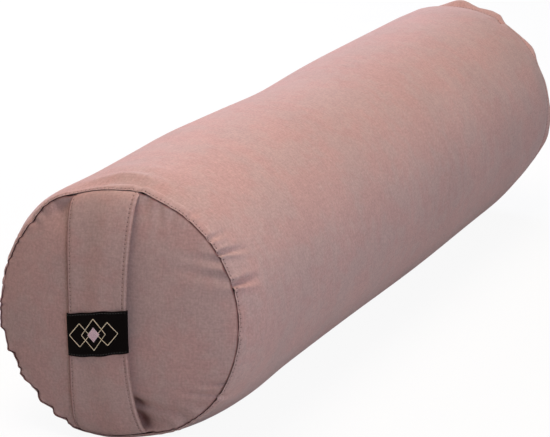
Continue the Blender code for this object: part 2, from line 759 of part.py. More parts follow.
def main():
    clear_scene()
    parts = new_collection("yoga_bolster")
    cutters = new_collection("cutters")
    rose = make_material("rose_cotton", (0.46, 0.29, 0.26), 0.9)
    black = make_material("black_label", (0.012, 0.012, 0.013), 0.75)
    tape = make_material("zip_tape", (0.33, 0.20, 0.18), 0.85)
    plastic = make_material("zip_plastic", (0.36, 0.22, 0.20), 0.4)
    metal = make_material("zip_metal", (0.55, 0.53, 0.50), 0.3, 1.0)
    calico = make_material("liner_calico", (0.78, 0.72, 0.60), 0.9)
    kapok = make_material("filling", (0.80, 0.73, 0.58), 1.0)

    panel = make_body_panel("cover_body_panel", parts, rose)
    make_end_panel("cover_front_end_panel", parts, rose)
    make_end_panel("cover_rear_end_panel", parts, rose, rear=True)
    make_handle("handle_strap", parts, rose)
    make_label("handle_label", parts, black)

    frame = zip_frame()
    cut_zip_slot(panel, frame, cutters)
    for side, word in ((-1, "lower"), (1, "upper")):
        make_tape(f"zip_tape_{word}", side, parts, tape)
        make_teeth(f"zip_teeth_{word}", side, frame, parts, plastic)
        make_stop(f"zip_closed_end_stop_{word}", (side,), STOP_FRONT, frame, parts, cutters, metal)
    make_stop("zip_open_end_stop", (-1, 1), STOP_REAR, frame, parts, cutters, metal)
    slider = make_slider("zip_slider", frame, parts, cutters, metal)
    make_pull("zip_pull_tab", slider, parts, cutters, metal)

    make_liner_tube("liner_body_panel", parts, calico)
    make_liner_end("liner_front_end_panel", parts, calico)
    make_liner_end("liner_rear_end_panel", parts, calico, rear=True)
    make_filling("filling", parts, kapok)
    centre_footprint(parts)


if __name__ == "__main__":
    main()
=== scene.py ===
"""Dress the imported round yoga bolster: sewn cotton cover, handle, label, zip and inner cushion.

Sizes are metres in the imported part's own frame: the bolster lies along +Y on its flattened
underside, and its handle end faces -Y. Each cloth piece is a grid of points. Keys place its rows
and columns: a key is the distance over the cloth from where its edge is folded, so that weave,
seams and stitches are all laid out by the same distances.
"""

import functools
import logging
import math
from dataclasses import dataclass
from enum import Enum

import bmesh
import bpy
import numpy as np
from mathutils import Matrix, Vector


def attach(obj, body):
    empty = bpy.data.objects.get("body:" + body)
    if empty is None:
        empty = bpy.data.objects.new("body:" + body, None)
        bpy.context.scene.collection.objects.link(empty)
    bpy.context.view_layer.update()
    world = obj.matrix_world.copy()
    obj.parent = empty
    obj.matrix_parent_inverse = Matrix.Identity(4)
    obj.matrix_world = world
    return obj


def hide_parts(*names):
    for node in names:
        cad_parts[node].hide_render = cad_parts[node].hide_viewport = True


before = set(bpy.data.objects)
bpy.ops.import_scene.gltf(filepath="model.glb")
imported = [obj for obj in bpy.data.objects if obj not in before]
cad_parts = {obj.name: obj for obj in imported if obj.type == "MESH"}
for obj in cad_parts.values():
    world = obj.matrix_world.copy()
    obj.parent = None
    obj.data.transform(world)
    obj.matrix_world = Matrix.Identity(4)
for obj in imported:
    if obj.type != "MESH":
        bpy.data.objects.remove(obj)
LOG = logging.getLogger("bolster")
NO_STITCH = 1.0
SIM_FRAMES = 20
JOIN_WITHIN = 1e-6
STITCH_SEAT_STEP = 0.0006


class End(Enum):
    """The two ends of the bolster."""

    FRONT = "front"
    REAR = "rear"


class Side(Enum):
    """The two halves of the zip, by their place on the bolster."""

    LOWER = "lower"
    UPPER = "upper"


# Distances and grids


def ease(start: float, stop: float, value: np.ndarray) -> np.ndarray:
    """Rise smoothly from 0 at start to 1 at stop."""
    share = np.clip((value - start) / (stop - start), 0.0, 1.0)
    return share * share * (3 - 2 * share)


def between(low: float, high: float, value: np.ndarray, soft: float) -> np.ndarray:
    """1 from low to high, falling smoothly to 0 over a distance outside."""
    return ease(low - soft, low, value) * (1 - ease(high, high + soft, value))


def turn_from(angle: np.ndarray, start: float) -> np.ndarray:
    """Signed turn from one angle to others, the shorter way round, in radians."""
    return np.remainder(angle - start + math.pi, 2 * math.pi) - math.pi


def wander(
    arc: np.ndarray, length: float, sway: float, sway_length: float, start: float = 0.0,
) -> np.ndarray:
    """A wave from -1 to 1 along an arc, stretched and squeezed by a longer wave.

    Args:
        arc: Distance along the arc.
        length: Length of the wave.
        sway: How far the longer wave shifts it, in radians.
        sway_length: Length of the longer wave.
        start: Where the longer wave starts, in radians.

    Returns:
        Height of the wave at each distance.
    """
    swayed = sway * np.sin(2 * math.pi * arc / sway_length + start)
    return np.sin(2 * math.pi * arc / length + swayed)


def bell(off: np.ndarray, width: float) -> np.ndarray:
    """1 where a distance is 0, falling to 0 on both sides."""
    return np.exp(-((off / width) ** 2))


def fold(key: np.ndarray, bend: float) -> tuple[np.ndarray, np.ndarray]:
    """Turn cloth under at a folded edge.

    Args:
        key: Distance over the cloth. The bend ends at `bend`, and smaller keys are turned under.
        bend: Radius of the folded edge.

    Returns:
        Distance in from the edge, and depth under the outer face.
    """
    turn = np.clip((bend - key) / bend, 0.0, math.pi)
    past = np.maximum(bend - math.pi * bend - key, 0.0)
    inward = np.where(key < bend, bend - bend * np.sin(turn) + past, key)
    return inward, bend * (1 - np.cos(turn))


def resample(values: np.ndarray, old: np.ndarray, new: np.ndarray, axis: int) -> np.ndarray:
    """Read an array at new keys along one axis, by smooth cubic pieces.

    Args:
        values: The array.
        old: Keys of its entries along that axis, rising.
        new: Keys to read it at.
        axis: The axis.

    Returns:
        The array with that axis at the new keys. Beyond the old keys it keeps its end value.
    """
    values = np.moveaxis(values, axis, 0)
    slope = np.gradient(values, old, axis=0)
    first = np.clip(np.searchsorted(old, new) - 1, 0, len(old) - 2)
    shape = (-1,) + (1,) * (values.ndim - 1)
    span = (old[first + 1] - old[first]).reshape(shape)
    t = np.clip((new - old[first]).reshape(shape) / span, 0.0, 1.0)
    start = (2 * t**3 - 3 * t**2 + 1) * values[first] + (t**3 - 2 * t**2 + t) * slope[first] * span
    stop = (3 * t**2 - 2 * t**3) * values[first + 1] + (t**3 - t**2) * slope[first + 1] * span
    return np.moveaxis(start + stop, 0, axis)


@dataclass
class Sheet:
    """A grid of cloth points that can be read between its points.

    rows and columns are the keys of the grid's rows and columns, and points is
    rows x columns x 3.
    """

    rows: np.ndarray
    columns: np.ndarray
    points: np.ndarray

    def at(self, row: float, column: float) -> Vector:
        """Point of the cloth at a row key and a column key."""
        i = np.interp(row, self.rows, np.arange(len(self.rows)))
        j = np.interp(column, self.columns, np.arange(len(self.columns)))
        r, c = min(int(i), len(self.rows) - 2), min(int(j), len(self.columns) - 2)
        p, q = i - r, j - c
        near = self.points[r, c] * (1 - q) + self.points[r, c + 1] * q
        far = self.points[r + 1, c] * (1 - q) + self.points[r + 1, c + 1] * q
        return Vector(near * (1 - p) + far * p)

    def seat(self, start: tuple[float, float], stop: tuple[float, float]) -> Matrix:
        """Axes for a stitch that runs over the cloth from one place to another.

        Args:
            start: Row key and column key where it starts.
            stop: Row key and column key where it ends.

        Returns:
            X along the stitch, Z out of the cloth, origin in the middle.
        """
        first, last = self.at(*start), self.at(*stop)
        along = (last - first).normalized()
        row, column = (start[0] + stop[0]) / 2, (start[1] + stop[1]) / 2
        step = STITCH_SEAT_STEP
        by_row = self.at(row + step, column) - self.at(row - step, column)
        by_column = self.at(row, column + step) - self.at(row, column - step)
        out = by_row.cross(by_column).normalized()
        side = out.cross(along).normalized()
        axes = Matrix((along, side, along.cross(side))).transposed().to_4x4()
        axes.translation = (first + last) / 2
        return axes


@dataclass
class ClothMaps:
    """What a cloth's material reads at each grid point.

    weave is the place on the flat cloth, stitch the distance along and off the nearest row of
    stitches, and the last map how far a folded edge has been rubbed, from 0 to 1, which is wear,
    or below 0 painted shade, for cloth that lies tucked deep in a seam or in a narrow gap.
    """

    weave: np.ndarray
    stitch: np.ndarray
    wear_and_seam_shade: np.ndarray

    @classmethod
    def plain(cls, across: np.ndarray, along: np.ndarray) -> "ClothMaps":
        """Maps of a cloth with no stitches and no rubbed edges."""
        far = np.full(across.shape + (2,), NO_STITCH)
        return cls(np.stack([across, along], axis=-1), far, np.zeros(across.shape))


def add_uv(mesh: bpy.types.Mesh, name: str, values: np.ndarray) -> None:
    """Give a mesh a UV map from one value for each point.

    Args:
        mesh: The mesh.
        name: Name of the UV map.
        values: Points x 2.
    """
    point_of = np.empty(len(mesh.loops), np.int32)
    mesh.loops.foreach_get("vertex_index", point_of)
    layer = mesh.uv_layers.new(name=name)
    layer.data.foreach_set("uv", values.reshape(-1, 2)[point_of].astype(np.float32).ravel())


def weave_sheet(
    name: str, points: np.ndarray, maps: ClothMaps, turned: bool, joined: bool = False, capped: bool = True,
) -> bpy.types.Object:
    """Make the mesh of a cloth grid.

    Args:
        name: Name of the object.
        points: Rows x columns x 3.
        maps: What its material reads.
        turned: Whether the face that shows is the one a column-by-row turn gives.
        joined: Whether its first and last columns, and rows drawn to a point, are one.
        capped: Whether a joined grid's open ends are closed.

    Returns:
        The object, smooth shaded.
    """
    rows, columns = points.shape[:2]
    bm = bmesh.new()
    bmesh.ops.create_grid(bm, x_segments=columns - 1, y_segments=rows - 1, size=1.0)
    if not turned:
        bmesh.ops.reverse_faces(bm, faces=bm.faces)
    mesh = bpy.data.meshes.new(name)
    bm.to_mesh(mesh)
    bm.free()
    mesh.vertices.foreach_set("co", points.astype(np.float32).ravel())
    add_uv(mesh, "weave", maps.weave)
    add_uv(mesh, "stitch", maps.stitch)
    wear_and_seam_shade = mesh.attributes.new("wear_and_seam_shade", "FLOAT", "POINT")
    wear_and_seam_shade.data.foreach_set("value", maps.wear_and_seam_shade.astype(np.float32).ravel())
    if joined:
        bm = bmesh.new()
        bm.from_mesh(mesh)
        bmesh.ops.remove_doubles(bm, verts=bm.verts, dist=JOIN_WITHIN)
        if capped:
            bmesh.ops.holes_fill(bm, edges=[edge for edge in bm.edges if edge.is_boundary])
        bm.to_mesh(mesh)
        bm.free()
    mesh.shade_smooth()
    obj = bpy.data.objects.new(name, mesh)
    bpy.context.scene.collection.objects.link(obj)
    return obj


def thicken(obj: bpy.types.Object, thickness: float, outwards: bool = False) -> None:
    """Give a cloth its thickness, into the bolster or out of it."""
    solidify = obj.modifiers.new("cloth thickness", "SOLIDIFY")
    solidify.thickness = thickness
    solidify.offset = 1.0 if outwards else -1.0
    solidify.use_rim = True


def fit(obj: bpy.types.Object, finish: bpy.types.Material, slot: str, body: str, *nodes: str) -> None:
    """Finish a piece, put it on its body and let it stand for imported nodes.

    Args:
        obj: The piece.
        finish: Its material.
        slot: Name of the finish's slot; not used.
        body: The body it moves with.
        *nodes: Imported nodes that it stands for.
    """
    obj.data.materials.clear()
    obj.data.materials.append(finish)
    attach(obj, body)
    if nodes:
        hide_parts(*nodes)
    LOG.info("%s: %d faces, finished in %s", obj.name, len(obj.data.polygons), finish.name)


@dataclass(frozen=True)
class Inflation:
    """How a stitched cloth swells and gathers over what fills it.

    gather is how much longer the cloth is than its seam where it is gathered, and cap is the
    furthest that a point may move.
    """

    pressure: float = 1.2
    gather: float = 0.03
    stiffness: float = 30.0
    bending: float = 1.0
    cap: float = 0.005

    def swell(
        self, points: np.ndarray, pinned: np.ndarray, gathered: np.ndarray, turned: bool,
    ) -> np.ndarray:
        """Let a cloth grid settle under pressure.

        Args:
            points: Rows x columns x 3.
            pinned: Rows x columns, 1 where the cloth is sewn or lies on the floor.
            gathered: Rows x columns, 0 to 1, where the cloth is gathered.
            turned: As in weave_sheet.
        """
        maps = ClothMaps.plain(points[..., 0], points[..., 1])
        obj = weave_sheet("swelling", points, maps, turned)
        for name, weights in (("pinned", pinned), ("gathered", gathered)):
            group = obj.vertex_groups.new(name=name)
            for index in np.nonzero(weights.ravel() > 0)[0]:
                group.add([int(index)], float(weights.ravel()[index]), "REPLACE")
        cloth = obj.modifiers.new("cloth", "CLOTH")
        settings = cloth.settings
        settings.quality = 6
        settings.mass = 0.25
        settings.air_damping = 3.0
        settings.tension_stiffness = settings.compression_stiffness = self.stiffness
        settings.shear_stiffness = self.stiffness / 3
        settings.bending_stiffness = self.bending
        settings.use_pressure = True
        settings.uniform_pressure_force = self.pressure
        settings.effector_weights.gravity = 0.0
        settings.vertex_group_mass = "pinned"
        settings.vertex_group_shrink = "gathered"
        settings.shrink_min = 0.0
        settings.shrink_max = -self.gather
        cloth.collision_settings.use_collision = False
        cloth.collision_settings.use_self_collision = False
        scene = bpy.context.scene
        for step in range(1, SIM_FRAMES + 1):
            scene.frame_set(step)
        evaluated = obj.evaluated_get(bpy.context.evaluated_depsgraph_get())
        settled = np.empty(points.size, np.float32)
        evaluated.data.vertices.foreach_get("co", settled)
        mesh = obj.data
        bpy.data.objects.remove(obj)
        bpy.data.meshes.remove(mesh)
        scene.frame_set(1)
        moved = settled.reshape(points.shape) - points
        length = np.linalg.norm(moved, axis=-1, keepdims=True)
        LOG.info("swelling: most %.4f m, mean %.4f m", length.max(), length.mean())
        return moved * np.minimum(1.0, self.cap / np.maximum(length, 1e-9))


# The bolster's form


@dataclass(frozen=True)
class Crease:
    """A pull in the cloth that runs out from an end seam.

    angle is in degrees round the bolster, and depth, width and reach are distances. slant is how
    far it bends to the clockwise side for each distance from the seam. widening is the share by
    which it is wider at its far end, and ridges are the height and place of the soft ridges beside
    it, as shares of its depth and width. past_row is how far it goes on beyond the stitches, and
    fall is how fast it flattens.
    """

    angle: float
    depth: float
    width: float
    reach: float
    slant: float = 0.0
    widening: float = 0.8
    ridges: tuple[tuple[float, float], ...] = ((0.25, 2.0), (0.55, -1.9))
    past_row: float = 0.0018
    fall: float = 1.6

    def depth_at(self, angle: np.ndarray, radius: np.ndarray, inward: np.ndarray) -> np.ndarray:
        """Depth of the crease and the soft ridges beside it, below the cloth.

        Args:
            angle: Angle round the bolster, in radians.
            radius: Distance from the bolster's axis.
            inward: Distance from the row of stitches.

        Returns:
            Depth at each point, negative on the ridges.
        """
        share = np.clip(inward / self.reach, 0.0, 1.0)
        off = turn_from(angle, math.radians(self.angle)) * radius + self.slant * np.maximum(inward, 0.0)
        across = off / (self.width * (1 + self.widening * share))
        ridges = sum(high * bell(across - place, 1.0) for high, place in self.ridges)
        behind = np.clip(1 + inward / self.past_row, 0.0, 1.0)
        fade = np.where(inward < 0, behind, (1 - share) ** self.fall)
        return self.depth * (bell(across, 1.0) - ridges) * fade


@dataclass(frozen=True)
class Puff:
    """A place where the stuffed cloth stands out, or in where its height is negative.

    angle and spread are in degrees round the bolster; place is the distance from the front seam.
    """

    angle: float
    spread: float
    height: float
    place: float
    reach: float

    def height_at(self, angle: np.ndarray, along: np.ndarray) -> np.ndarray:
        """Height of the puff at each point."""
        turn = turn_from(angle, math.radians(self.angle))
        return self.height * bell(turn, math.radians(self.spread)) * bell(along - self.place, self.reach)


@dataclass(frozen=True)
class Swell:
    """A stretch of an end seam that stands out from the axis, or in where its height is negative.

    angle and spread are in degrees round the bolster.
    """

    angle: float
    spread: float
    height: float

    def height_at(self, angle: np.ndarray) -> np.ndarray:
        """Height of the swell at each angle, which is in radians."""
        return self.height * bell(turn_from(angle, math.radians(self.angle)), math.radians(self.spread))


@dataclass(frozen=True)
class Hollow:
    """A place where an end panel is drawn in, given by its place from the axis and its size."""

    side: float
    height: float
    wide: float
    tall: float
    depth: float

    def depth_at(self, side: np.ndarray, height: np.ndarray) -> np.ndarray:
        """Depth of the hollow at each point."""
        return self.depth * bell(side - self.side, self.wide) * bell(height - self.height, self.tall)


@dataclass(frozen=True)
class BolsterForm:
    """Outer form of the bolster as it lies on the floor.

    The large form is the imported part's. spread is how much wider it is for its own weight, and
    flattening how far it sinks onto its underside. The end_lift fields draw up the underside of
    both ends, and the leans slant each end by its height and by its side. The swells, gathers,
    loose fold and hollows are the cloth's own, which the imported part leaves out. gathers and
    loose_fold are in degrees round the bolster: each gather from where to where, and over how much
    more it fades, and where the fold rises and falls away.
    """

    length: float = 0.70
    radius: float = 0.105
    seam_radius: float = 0.0976
    front_shoulder: float = 0.034
    rear_shoulder: float = 0.050
    crown: float = 0.0105
    ridge_height: float = 0.0008
    ridge_width: float = 0.008
    spread: float = 1.015
    flattening: float = 0.0032
    end_lift: float = 0.005
    end_lift_reach: float = 0.04
    end_lift_ring: float = 0.085
    end_flatness: int = 20
    end_lift_turn: float = math.radians(14)
    lean_length: float = 0.13
    front_lean: tuple[float, float] = (0.109, 0.056)
    rear_lean: tuple[float, float] = (0.124, -0.063)
    footprint_shift: tuple[float, float] = (0.00159, 0.00517)
    floor_softness: float = 0.0015
    zip_angle: float = math.radians(172)
    front_swells: tuple[Swell, ...] = (
        Swell(125, 10, 0.0034), Swell(81, 6, 0.0016), Swell(190, 8, 0.0018),
        Swell(221, 8, -0.0012), Swell(250, 7, 0.0016), Swell(312, 7, -0.0008),
    )
    rear_swells: tuple[Swell, ...] = (
        Swell(91, 6, 0.0030), Swell(80, 5, -0.0016), Swell(41, 7, 0.0034), Swell(29, 6, -0.0022),
        Swell(0, 22, 0.0013), Swell(350, 12, 0.0028), Swell(311, 10, -0.0050),
    )
    gathers: tuple[tuple[float, float, float], ...] = ((128, 208, 14), (206, 244, 9), (290, 314, 5))
    loose_fold: tuple[float, float, float, float] = (61, 68, 94, 116)
    loose_fold_height: float = 0.0046
    hollows: tuple[Hollow, ...] = (
        Hollow(-0.049, 0.079, 0.009, 0.012, 0.0030),
        Hollow(0.031, -0.084, 0.013, 0.017, 0.0030),
        Hollow(0.0165, -0.084, 0.0088, 0.0085, 0.0140),
        Hollow(0.0150, -0.0670, 0.0094, 0.0045, 0.0100),
        Hollow(0.042, -0.0680, 0.018, 0.0036, 0.0024),
    )

    @property
    def girth(self) -> float:
        """Distance round the bolster's middle."""
        return 2 * math.pi * self.radius

    @property
    def centre_height(self) -> float:
        """Height of the bolster's axis over the floor."""
        return self.radius / self.spread - self.flattening

    def skin_radius(self, along: np.ndarray) -> np.ndarray:
        """Radius of the cover at a distance along from the front seam."""
        inward = np.clip(np.minimum(along, self.length - along), 0.0, None)
        shoulder = np.where(along < self.length / 2, self.front_shoulder, self.rear_shoulder)
        short_of = 1 - np.minimum(inward / shoulder, 1.0)
        radius = self.radius - (self.radius - self.seam_radius) * short_of**2
        bead = np.sin(math.pi * np.minimum(inward / self.ridge_width, 1.0)) ** 2
        return radius + self.ridge_height * bead

    def bulge(self, radius: np.ndarray) -> np.ndarray:
        """How far an end panel stands out of its seam's plane at a distance from the axis."""
        return self.crown * (1 - np.minimum(radius / self.seam_radius, 1.0) ** 3)

    def wave(self, angle: np.ndarray, front: np.ndarray) -> tuple[np.ndarray, np.ndarray]:
        """How the gathered end seams stand out of line.

        Args:
            angle: Angle round the bolster, in radians.
            front: True at the front end.

        Returns:
            Distance out of the end, and distance out from the axis.
        """
        whole = np.remainder(angle, 2 * math.pi)
        arc, turn = whole * self.radius, np.degrees(whole)
        ripple = wander(arc, 0.0082, 1.6, 0.057, 0.7)
        scallop = wander(arc, 0.023, 1.4, 0.087)
        slow = wander(arc, 0.041, 1.1, 0.093)
        ripple_size = 0.55 + 0.45 * np.sin(2 * math.pi * arc / 0.0197 + 1.9)
        left, low_left, right = (between(low, high, turn, soft) for low, high, soft in self.gathers)
        fine = 0.0003 * (low_left + right)
        scalloped = (0.0002 * left + 0.0009 * low_left) * scallop
        front_out = (0.00012 + 0.0005 * left + fine) * ripple * ripple_size + scalloped + 0.0002 * slow
        front_up = (0.0001 + 0.0003 * left + fine) * ripple * ripple_size + scalloped
        front_up = front_up + sum(swell.height_at(angle) for swell in self.front_swells)
        rise_from, rise_to, fall_from, fall_to = self.loose_fold
        lifted = ease(rise_from, rise_to, turn) * (1 - ease(fall_from, fall_to, turn))
        rear_out = 0.0003 * ripple + 0.0004 * slow
        rear_up = 0.0002 * slow + self.loose_fold_height * lifted
        rear_up = rear_up + sum(swell.height_at(angle) for swell in self.rear_swells)
        return np.where(front, front_out, rear_out), np.where(front, front_up, rear_up)

    def end_dent(self, side: np.ndarray, height: np.ndarray) -> np.ndarray:
        """How far the front end panel is drawn in beside the strap's top and foot."""
        return sum(hollow.depth_at(side, height) for hollow in self.hollows)

    def underside_rise(self, side: np.ndarray, along: np.ndarray, height: np.ndarray) -> np.ndarray:
        """How far the seams draw up the underside of the bolster's ends."""
        radius = np.maximum(np.hypot(side, height), 1e-6)
        fade = np.clip(1 - np.minimum(along, self.length - along) / self.end_lift_reach, 0.0, 1.0)
        share = np.minimum(radius / self.end_lift_ring, 1.0) ** 2
        under = (side * math.sin(self.end_lift_turn) - height * math.cos(self.end_lift_turn)) / radius
        return self.end_lift * fade * share * np.maximum(under, 0.0) ** self.end_flatness

    def settle(
        self, side: np.ndarray, along: np.ndarray, height: np.ndarray, lift: float = 0.0,
    ) -> np.ndarray:
        """Move points of the weightless bolster to where they lie on the floor.

        Args:
            side: Distance to the side of the axis.
            along: Distance along from the front seam.
            height: Distance over the axis.
            lift: How far this layer stays above the floor.

        Returns:
            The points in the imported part's frame.
        """
        rise = self.underside_rise(side, along, height)
        side, height = side * self.spread, height / self.spread + rise
        front = np.clip(1 - along / self.lean_length, 0.0, 1.0)
        rear = np.clip(1 - (self.length - along) / self.lean_length, 0.0, 1.0)
        place = along + front * (self.front_lean[0] * height + self.front_lean[1] * side)
        place = place + rear * (self.rear_lean[0] * height + self.rear_lean[1] * side)
        over = height + self.centre_height - lift
        over = (over + np.sqrt(over**2 + self.floor_softness**2)) / 2
        shift = self.footprint_shift
        parts = (side + shift[0], place - self.length / 2 + shift[1], over + lift)
        return np.stack(np.broadcast_arrays(*parts), axis=-1)

    def wrap(
        self, angle: np.ndarray, along: np.ndarray, radius: np.ndarray, lift: float = 0.0,
    ) -> np.ndarray:
        """Settle points given by their angle round the axis, distance along and radius."""
        return self.settle(radius * np.cos(angle), along, radius * np.sin(angle), lift)


def mirrored(keys: list[float], length: float, middle: list[float]) -> np.ndarray:
    """Keys given from one edge, repeated from the other, with more between them."""
    return np.array(sorted(keys + middle + [length - k for k in keys]))


# Node groups


class Wiring:
    """Adds and joins the nodes of one shader tree."""

    def __init__(self, tree: bpy.types.NodeTree) -> None:
        """Start wiring a tree."""
        self.tree = tree

    def feed(self, socket: bpy.types.NodeSocket, value: object) -> None:
        """Join a socket to another node's output, or set it to a plain value."""
        if isinstance(value, bpy.types.NodeSocket):
            self.tree.links.new(value, socket)
        else:
            socket.default_value = value

    def add(
        self, kind: str, inputs: dict[str | int, object] | None = None, **settings: object
    ) -> bpy.types.Node:
        """Add a node.

        Args:
            kind: Blender's name of the node type.
            inputs: Values or outputs for its sockets, by name or place.
            **settings: Its own settings.

        Returns:
            The node.
        """
        node = self.tree.nodes.new(kind)
        for name, value in settings.items():
            setattr(node, name, value)
        for name, value in (inputs or {}).items():
            self.feed(node.inputs[name], value)
        return node

    def math(self, operation: str, *values: object) -> bpy.types.NodeSocket:
        """Work out one number from up to three."""
        node = self.add("ShaderNodeMath", dict(enumerate(values)), operation=operation)
        return node.outputs[0]

    def vary(self, value: object, amount: object, base: object = 1.0) -> bpy.types.NodeSocket:
        """Add an amount of a value that lies round 0.5 to a base, so that 0.5 adds nothing."""
        return self.math("MULTIPLY_ADD", self.math("SUBTRACT", value, 0.5), amount, base)

    def step(self, low: float, high: float, value: object) -> bpy.types.NodeSocket:
        """Rise smoothly from 0 at low to 1 at high."""
        inputs = {"Value": value, "From Min": low, "From Max": high}
        return self.add("ShaderNodeMapRange", inputs, interpolation_type="SMOOTHSTEP").outputs[0]

    def mix(self, share: object, first: object, second: object) -> bpy.types.NodeSocket:
        """Blend two colours."""
        inputs = {0: share, 6: first, 7: second}
        return self.add("ShaderNodeMix", inputs, data_type="RGBA").outputs[2]

    def scale_colour(self, colour: object, factor: object) -> bpy.types.NodeSocket:
        """Multiply a colour by a number."""
        node = self.add("ShaderNodeVectorMath", {0: colour, "Scale": factor}, operation="SCALE")
        return node.outputs[0]

    def group(self, tree: bpy.types.NodeTree, **inputs: object) -> bpy.types.Node:
        """Place a node group."""
        node = self.add("ShaderNodeGroup", node_tree=tree)
        for name, value in inputs.items():
            self.feed(node.inputs[name], value)
        return node

    def emboss(self, shader: bpy.types.Node, height: object, depth: float, strength: float = 1.0) -> None:
        """Bump a shader's surface, where a height of 1 stands out by a depth in metres."""
        inputs = {"Strength": strength, "Distance": depth, "Height": height}
        self.feed(shader.inputs["Normal"], self.add("ShaderNodeBump", inputs).outputs[0])


class GroupPlan:
    """A shader node group under construction, with its named inputs and outputs."""

    def __init__(self, name: str, inputs: dict[str, float | None], outputs: tuple[str, ...]) -> None:
        """Make the group.

        Args:
            name: Name of the group.
            inputs: Default of each number, or None for a vector.
            outputs: Names of the masks or heights that it puts out.
        """
        self.tree = bpy.data.node_groups.new(name, "ShaderNodeTree")
        for label, default in inputs.items():
            kind = "NodeSocketVector" if default is None else "NodeSocketFloat"
            socket = self.tree.interface.new_socket(name=label, in_out="INPUT", socket_type=kind)
            if default is not None:
                socket.default_value = default
        for label in outputs:
            self.tree.interface.new_socket(name=label, in_out="OUTPUT", socket_type="NodeSocketFloat")
        self.wiring = Wiring(self.tree)
        self.given = self.tree.nodes.new("NodeGroupInput").outputs
        self.made = self.tree.nodes.new("NodeGroupOutput").inputs


@functools.cache
def plain_weave_group() -> bpy.types.NodeTree:
    """Over-and-under weave on a UV map in metres: its height, and the shade of each yarn."""
    plan = GroupPlan("plain weave", {"Vector": None, "Pitch": 0.0005, "Slub": 0.4}, ("Height", "Yarn"))
    w = plan.wiring
    parts = w.add("ShaderNodeSeparateXYZ", {0: plan.given["Vector"]}).outputs
    u = w.math("DIVIDE", parts[0], plan.given["Pitch"])
    v = w.math("DIVIDE", parts[1], plan.given["Pitch"])
    thick = []
    for across, along, seed in ((u, v, 3.1), (v, u, 47.7)):
        number = w.math("FLOOR", across)
        place = w.add("ShaderNodeCombineXYZ", {0: number, 1: w.math("MULTIPLY", along, 0.03), 2: seed})
        slub = w.add("ShaderNodeTexNoise", {"Vector": place.outputs[0], "Scale": 1.0, "Detail": 1.0})
        thick.append(slub.outputs[0])
    round_u = w.math("SINE", w.math("MULTIPLY", w.math("FRACT", u), math.pi))
    round_v = w.math("SINE", w.math("MULTIPLY", w.math("FRACT", v), math.pi))
    heights = []
    for body, bow, slub in ((round_u, round_v, thick[0]), (round_v, round_u, thick[1])):
        crossing = w.math("MULTIPLY_ADD", bow, 0.55, 0.45)
        full = w.math("MULTIPLY", w.math("POWER", body, 0.6), crossing)
        heights.append(w.math("MULTIPLY", full, w.vary(slub, plan.given["Slub"])))
    square = w.math("ADD", w.math("FLOOR", u), w.math("FLOOR", v))
    over = w.math("MODULO", w.math("ABSOLUTE", square), 2.0)
    for outputs, pair in (("Height", heights), ("Yarn", thick)):
        blended = w.add("ShaderNodeMix", {0: over, 2: pair[0], 3: pair[1]}, data_type="FLOAT")
        w.feed(plan.made[outputs], blended.outputs[0])
    return plan.tree


@functools.cache
def herringbone_group() -> bpy.types.NodeTree:
    """Tape weave on a UV map in metres: slanting ribs that turn back at each stripe."""
    plan = GroupPlan("herringbone", {"Vector": None, "Pitch": 0.0007, "Stripe": 0.0034}, ("Height",))
    w = plan.wiring
    parts = w.add("ShaderNodeSeparateXYZ", {0: plan.given["Vector"]}).outputs
    zigzag = w.math("PINGPONG", parts[0], plan.given["Stripe"])
    slant = w.math("DIVIDE", w.math("ADD", zigzag, parts[1]), plan.given["Pitch"])
    rib = w.math("SINE", w.math("MULTIPLY", w.math("FRACT", slant), math.pi))
    w.feed(plan.made["Height"], w.math("POWER", rib, 0.7))
    return plan.tree


@functools.cache
def needle_hole_group() -> bpy.types.NodeTree:
    """Holes where the thread goes in, on the stitch UV map, and the dent pulled round them."""
    plan = GroupPlan("needle holes", {"Vector": None, "Pitch": 0.0034, "Radius": 0.00052}, ("Hole", "Dent"))
    w = plan.wiring
    parts = w.add("ShaderNodeSeparateXYZ", {0: plan.given["Vector"]}).outputs
    share = w.math("FRACT", w.math("ADD", w.math("DIVIDE", parts[0], plan.given["Pitch"]), 0.5))
    along = w.math("MULTIPLY", w.math("SUBTRACT", share, 0.5), plan.given["Pitch"])
    off = w.math("SQRT", w.math("ADD", w.math("POWER", along, 2.0), w.math("POWER", parts[1], 2.0)))
    near = w.math("DIVIDE", off, plan.given["Radius"])
    w.feed(plan.made["Hole"], w.math("SUBTRACT", 1.0, w.step(0.55, 1.25, near)))
    w.feed(plan.made["Dent"], w.math("SUBTRACT", 1.0, w.step(0.0, 4.0, near)))
    return plan.tree


@functools.cache
def mottle_group() -> bpy.types.NodeTree:
    """Uneven dye and handling over a whole piece, on Object coordinates, from broad to fine."""
    layers = {"Cloud": (1.0, 3.0), "Tint": (3.1, 2.0), "Patch": (12.0, 2.0), "Grain": (60.0, 2.0)}
    plan = GroupPlan("mottle", {"Vector": None, "Scale": 9.0}, tuple(layers))
    w = plan.wiring
    for output, (times, detail) in layers.items():
        scale = w.math("MULTIPLY", plan.given["Scale"], times)
        inputs = {"Vector": plan.given["Vector"], "Scale": scale, "Detail": detail}
        w.feed(plan.made[output], w.add("ShaderNodeTexNoise", inputs).outputs[0])
    return plan.tree


@functools.cache
def twist_group() -> bpy.types.NodeTree:
    """Plies of a sewing thread, on the thread's own UV map."""
    plan = GroupPlan("thread twist", {"Vector": None, "Turns": 5.0}, ("Height",))
    w = plan.wiring
    parts = w.add("ShaderNodeSeparateXYZ", {0: plan.given["Vector"]}).outputs
    turn = w.math("ADD", w.math("MULTIPLY", parts[1], plan.given["Turns"]), parts[0])
    ply = w.math("SINE", w.math("MULTIPLY", w.math("FRACT", w.math("MULTIPLY", turn, 3.0)), math.pi))
    w.feed(plan.made["Height"], ply)
    return plan.tree


# Finishes


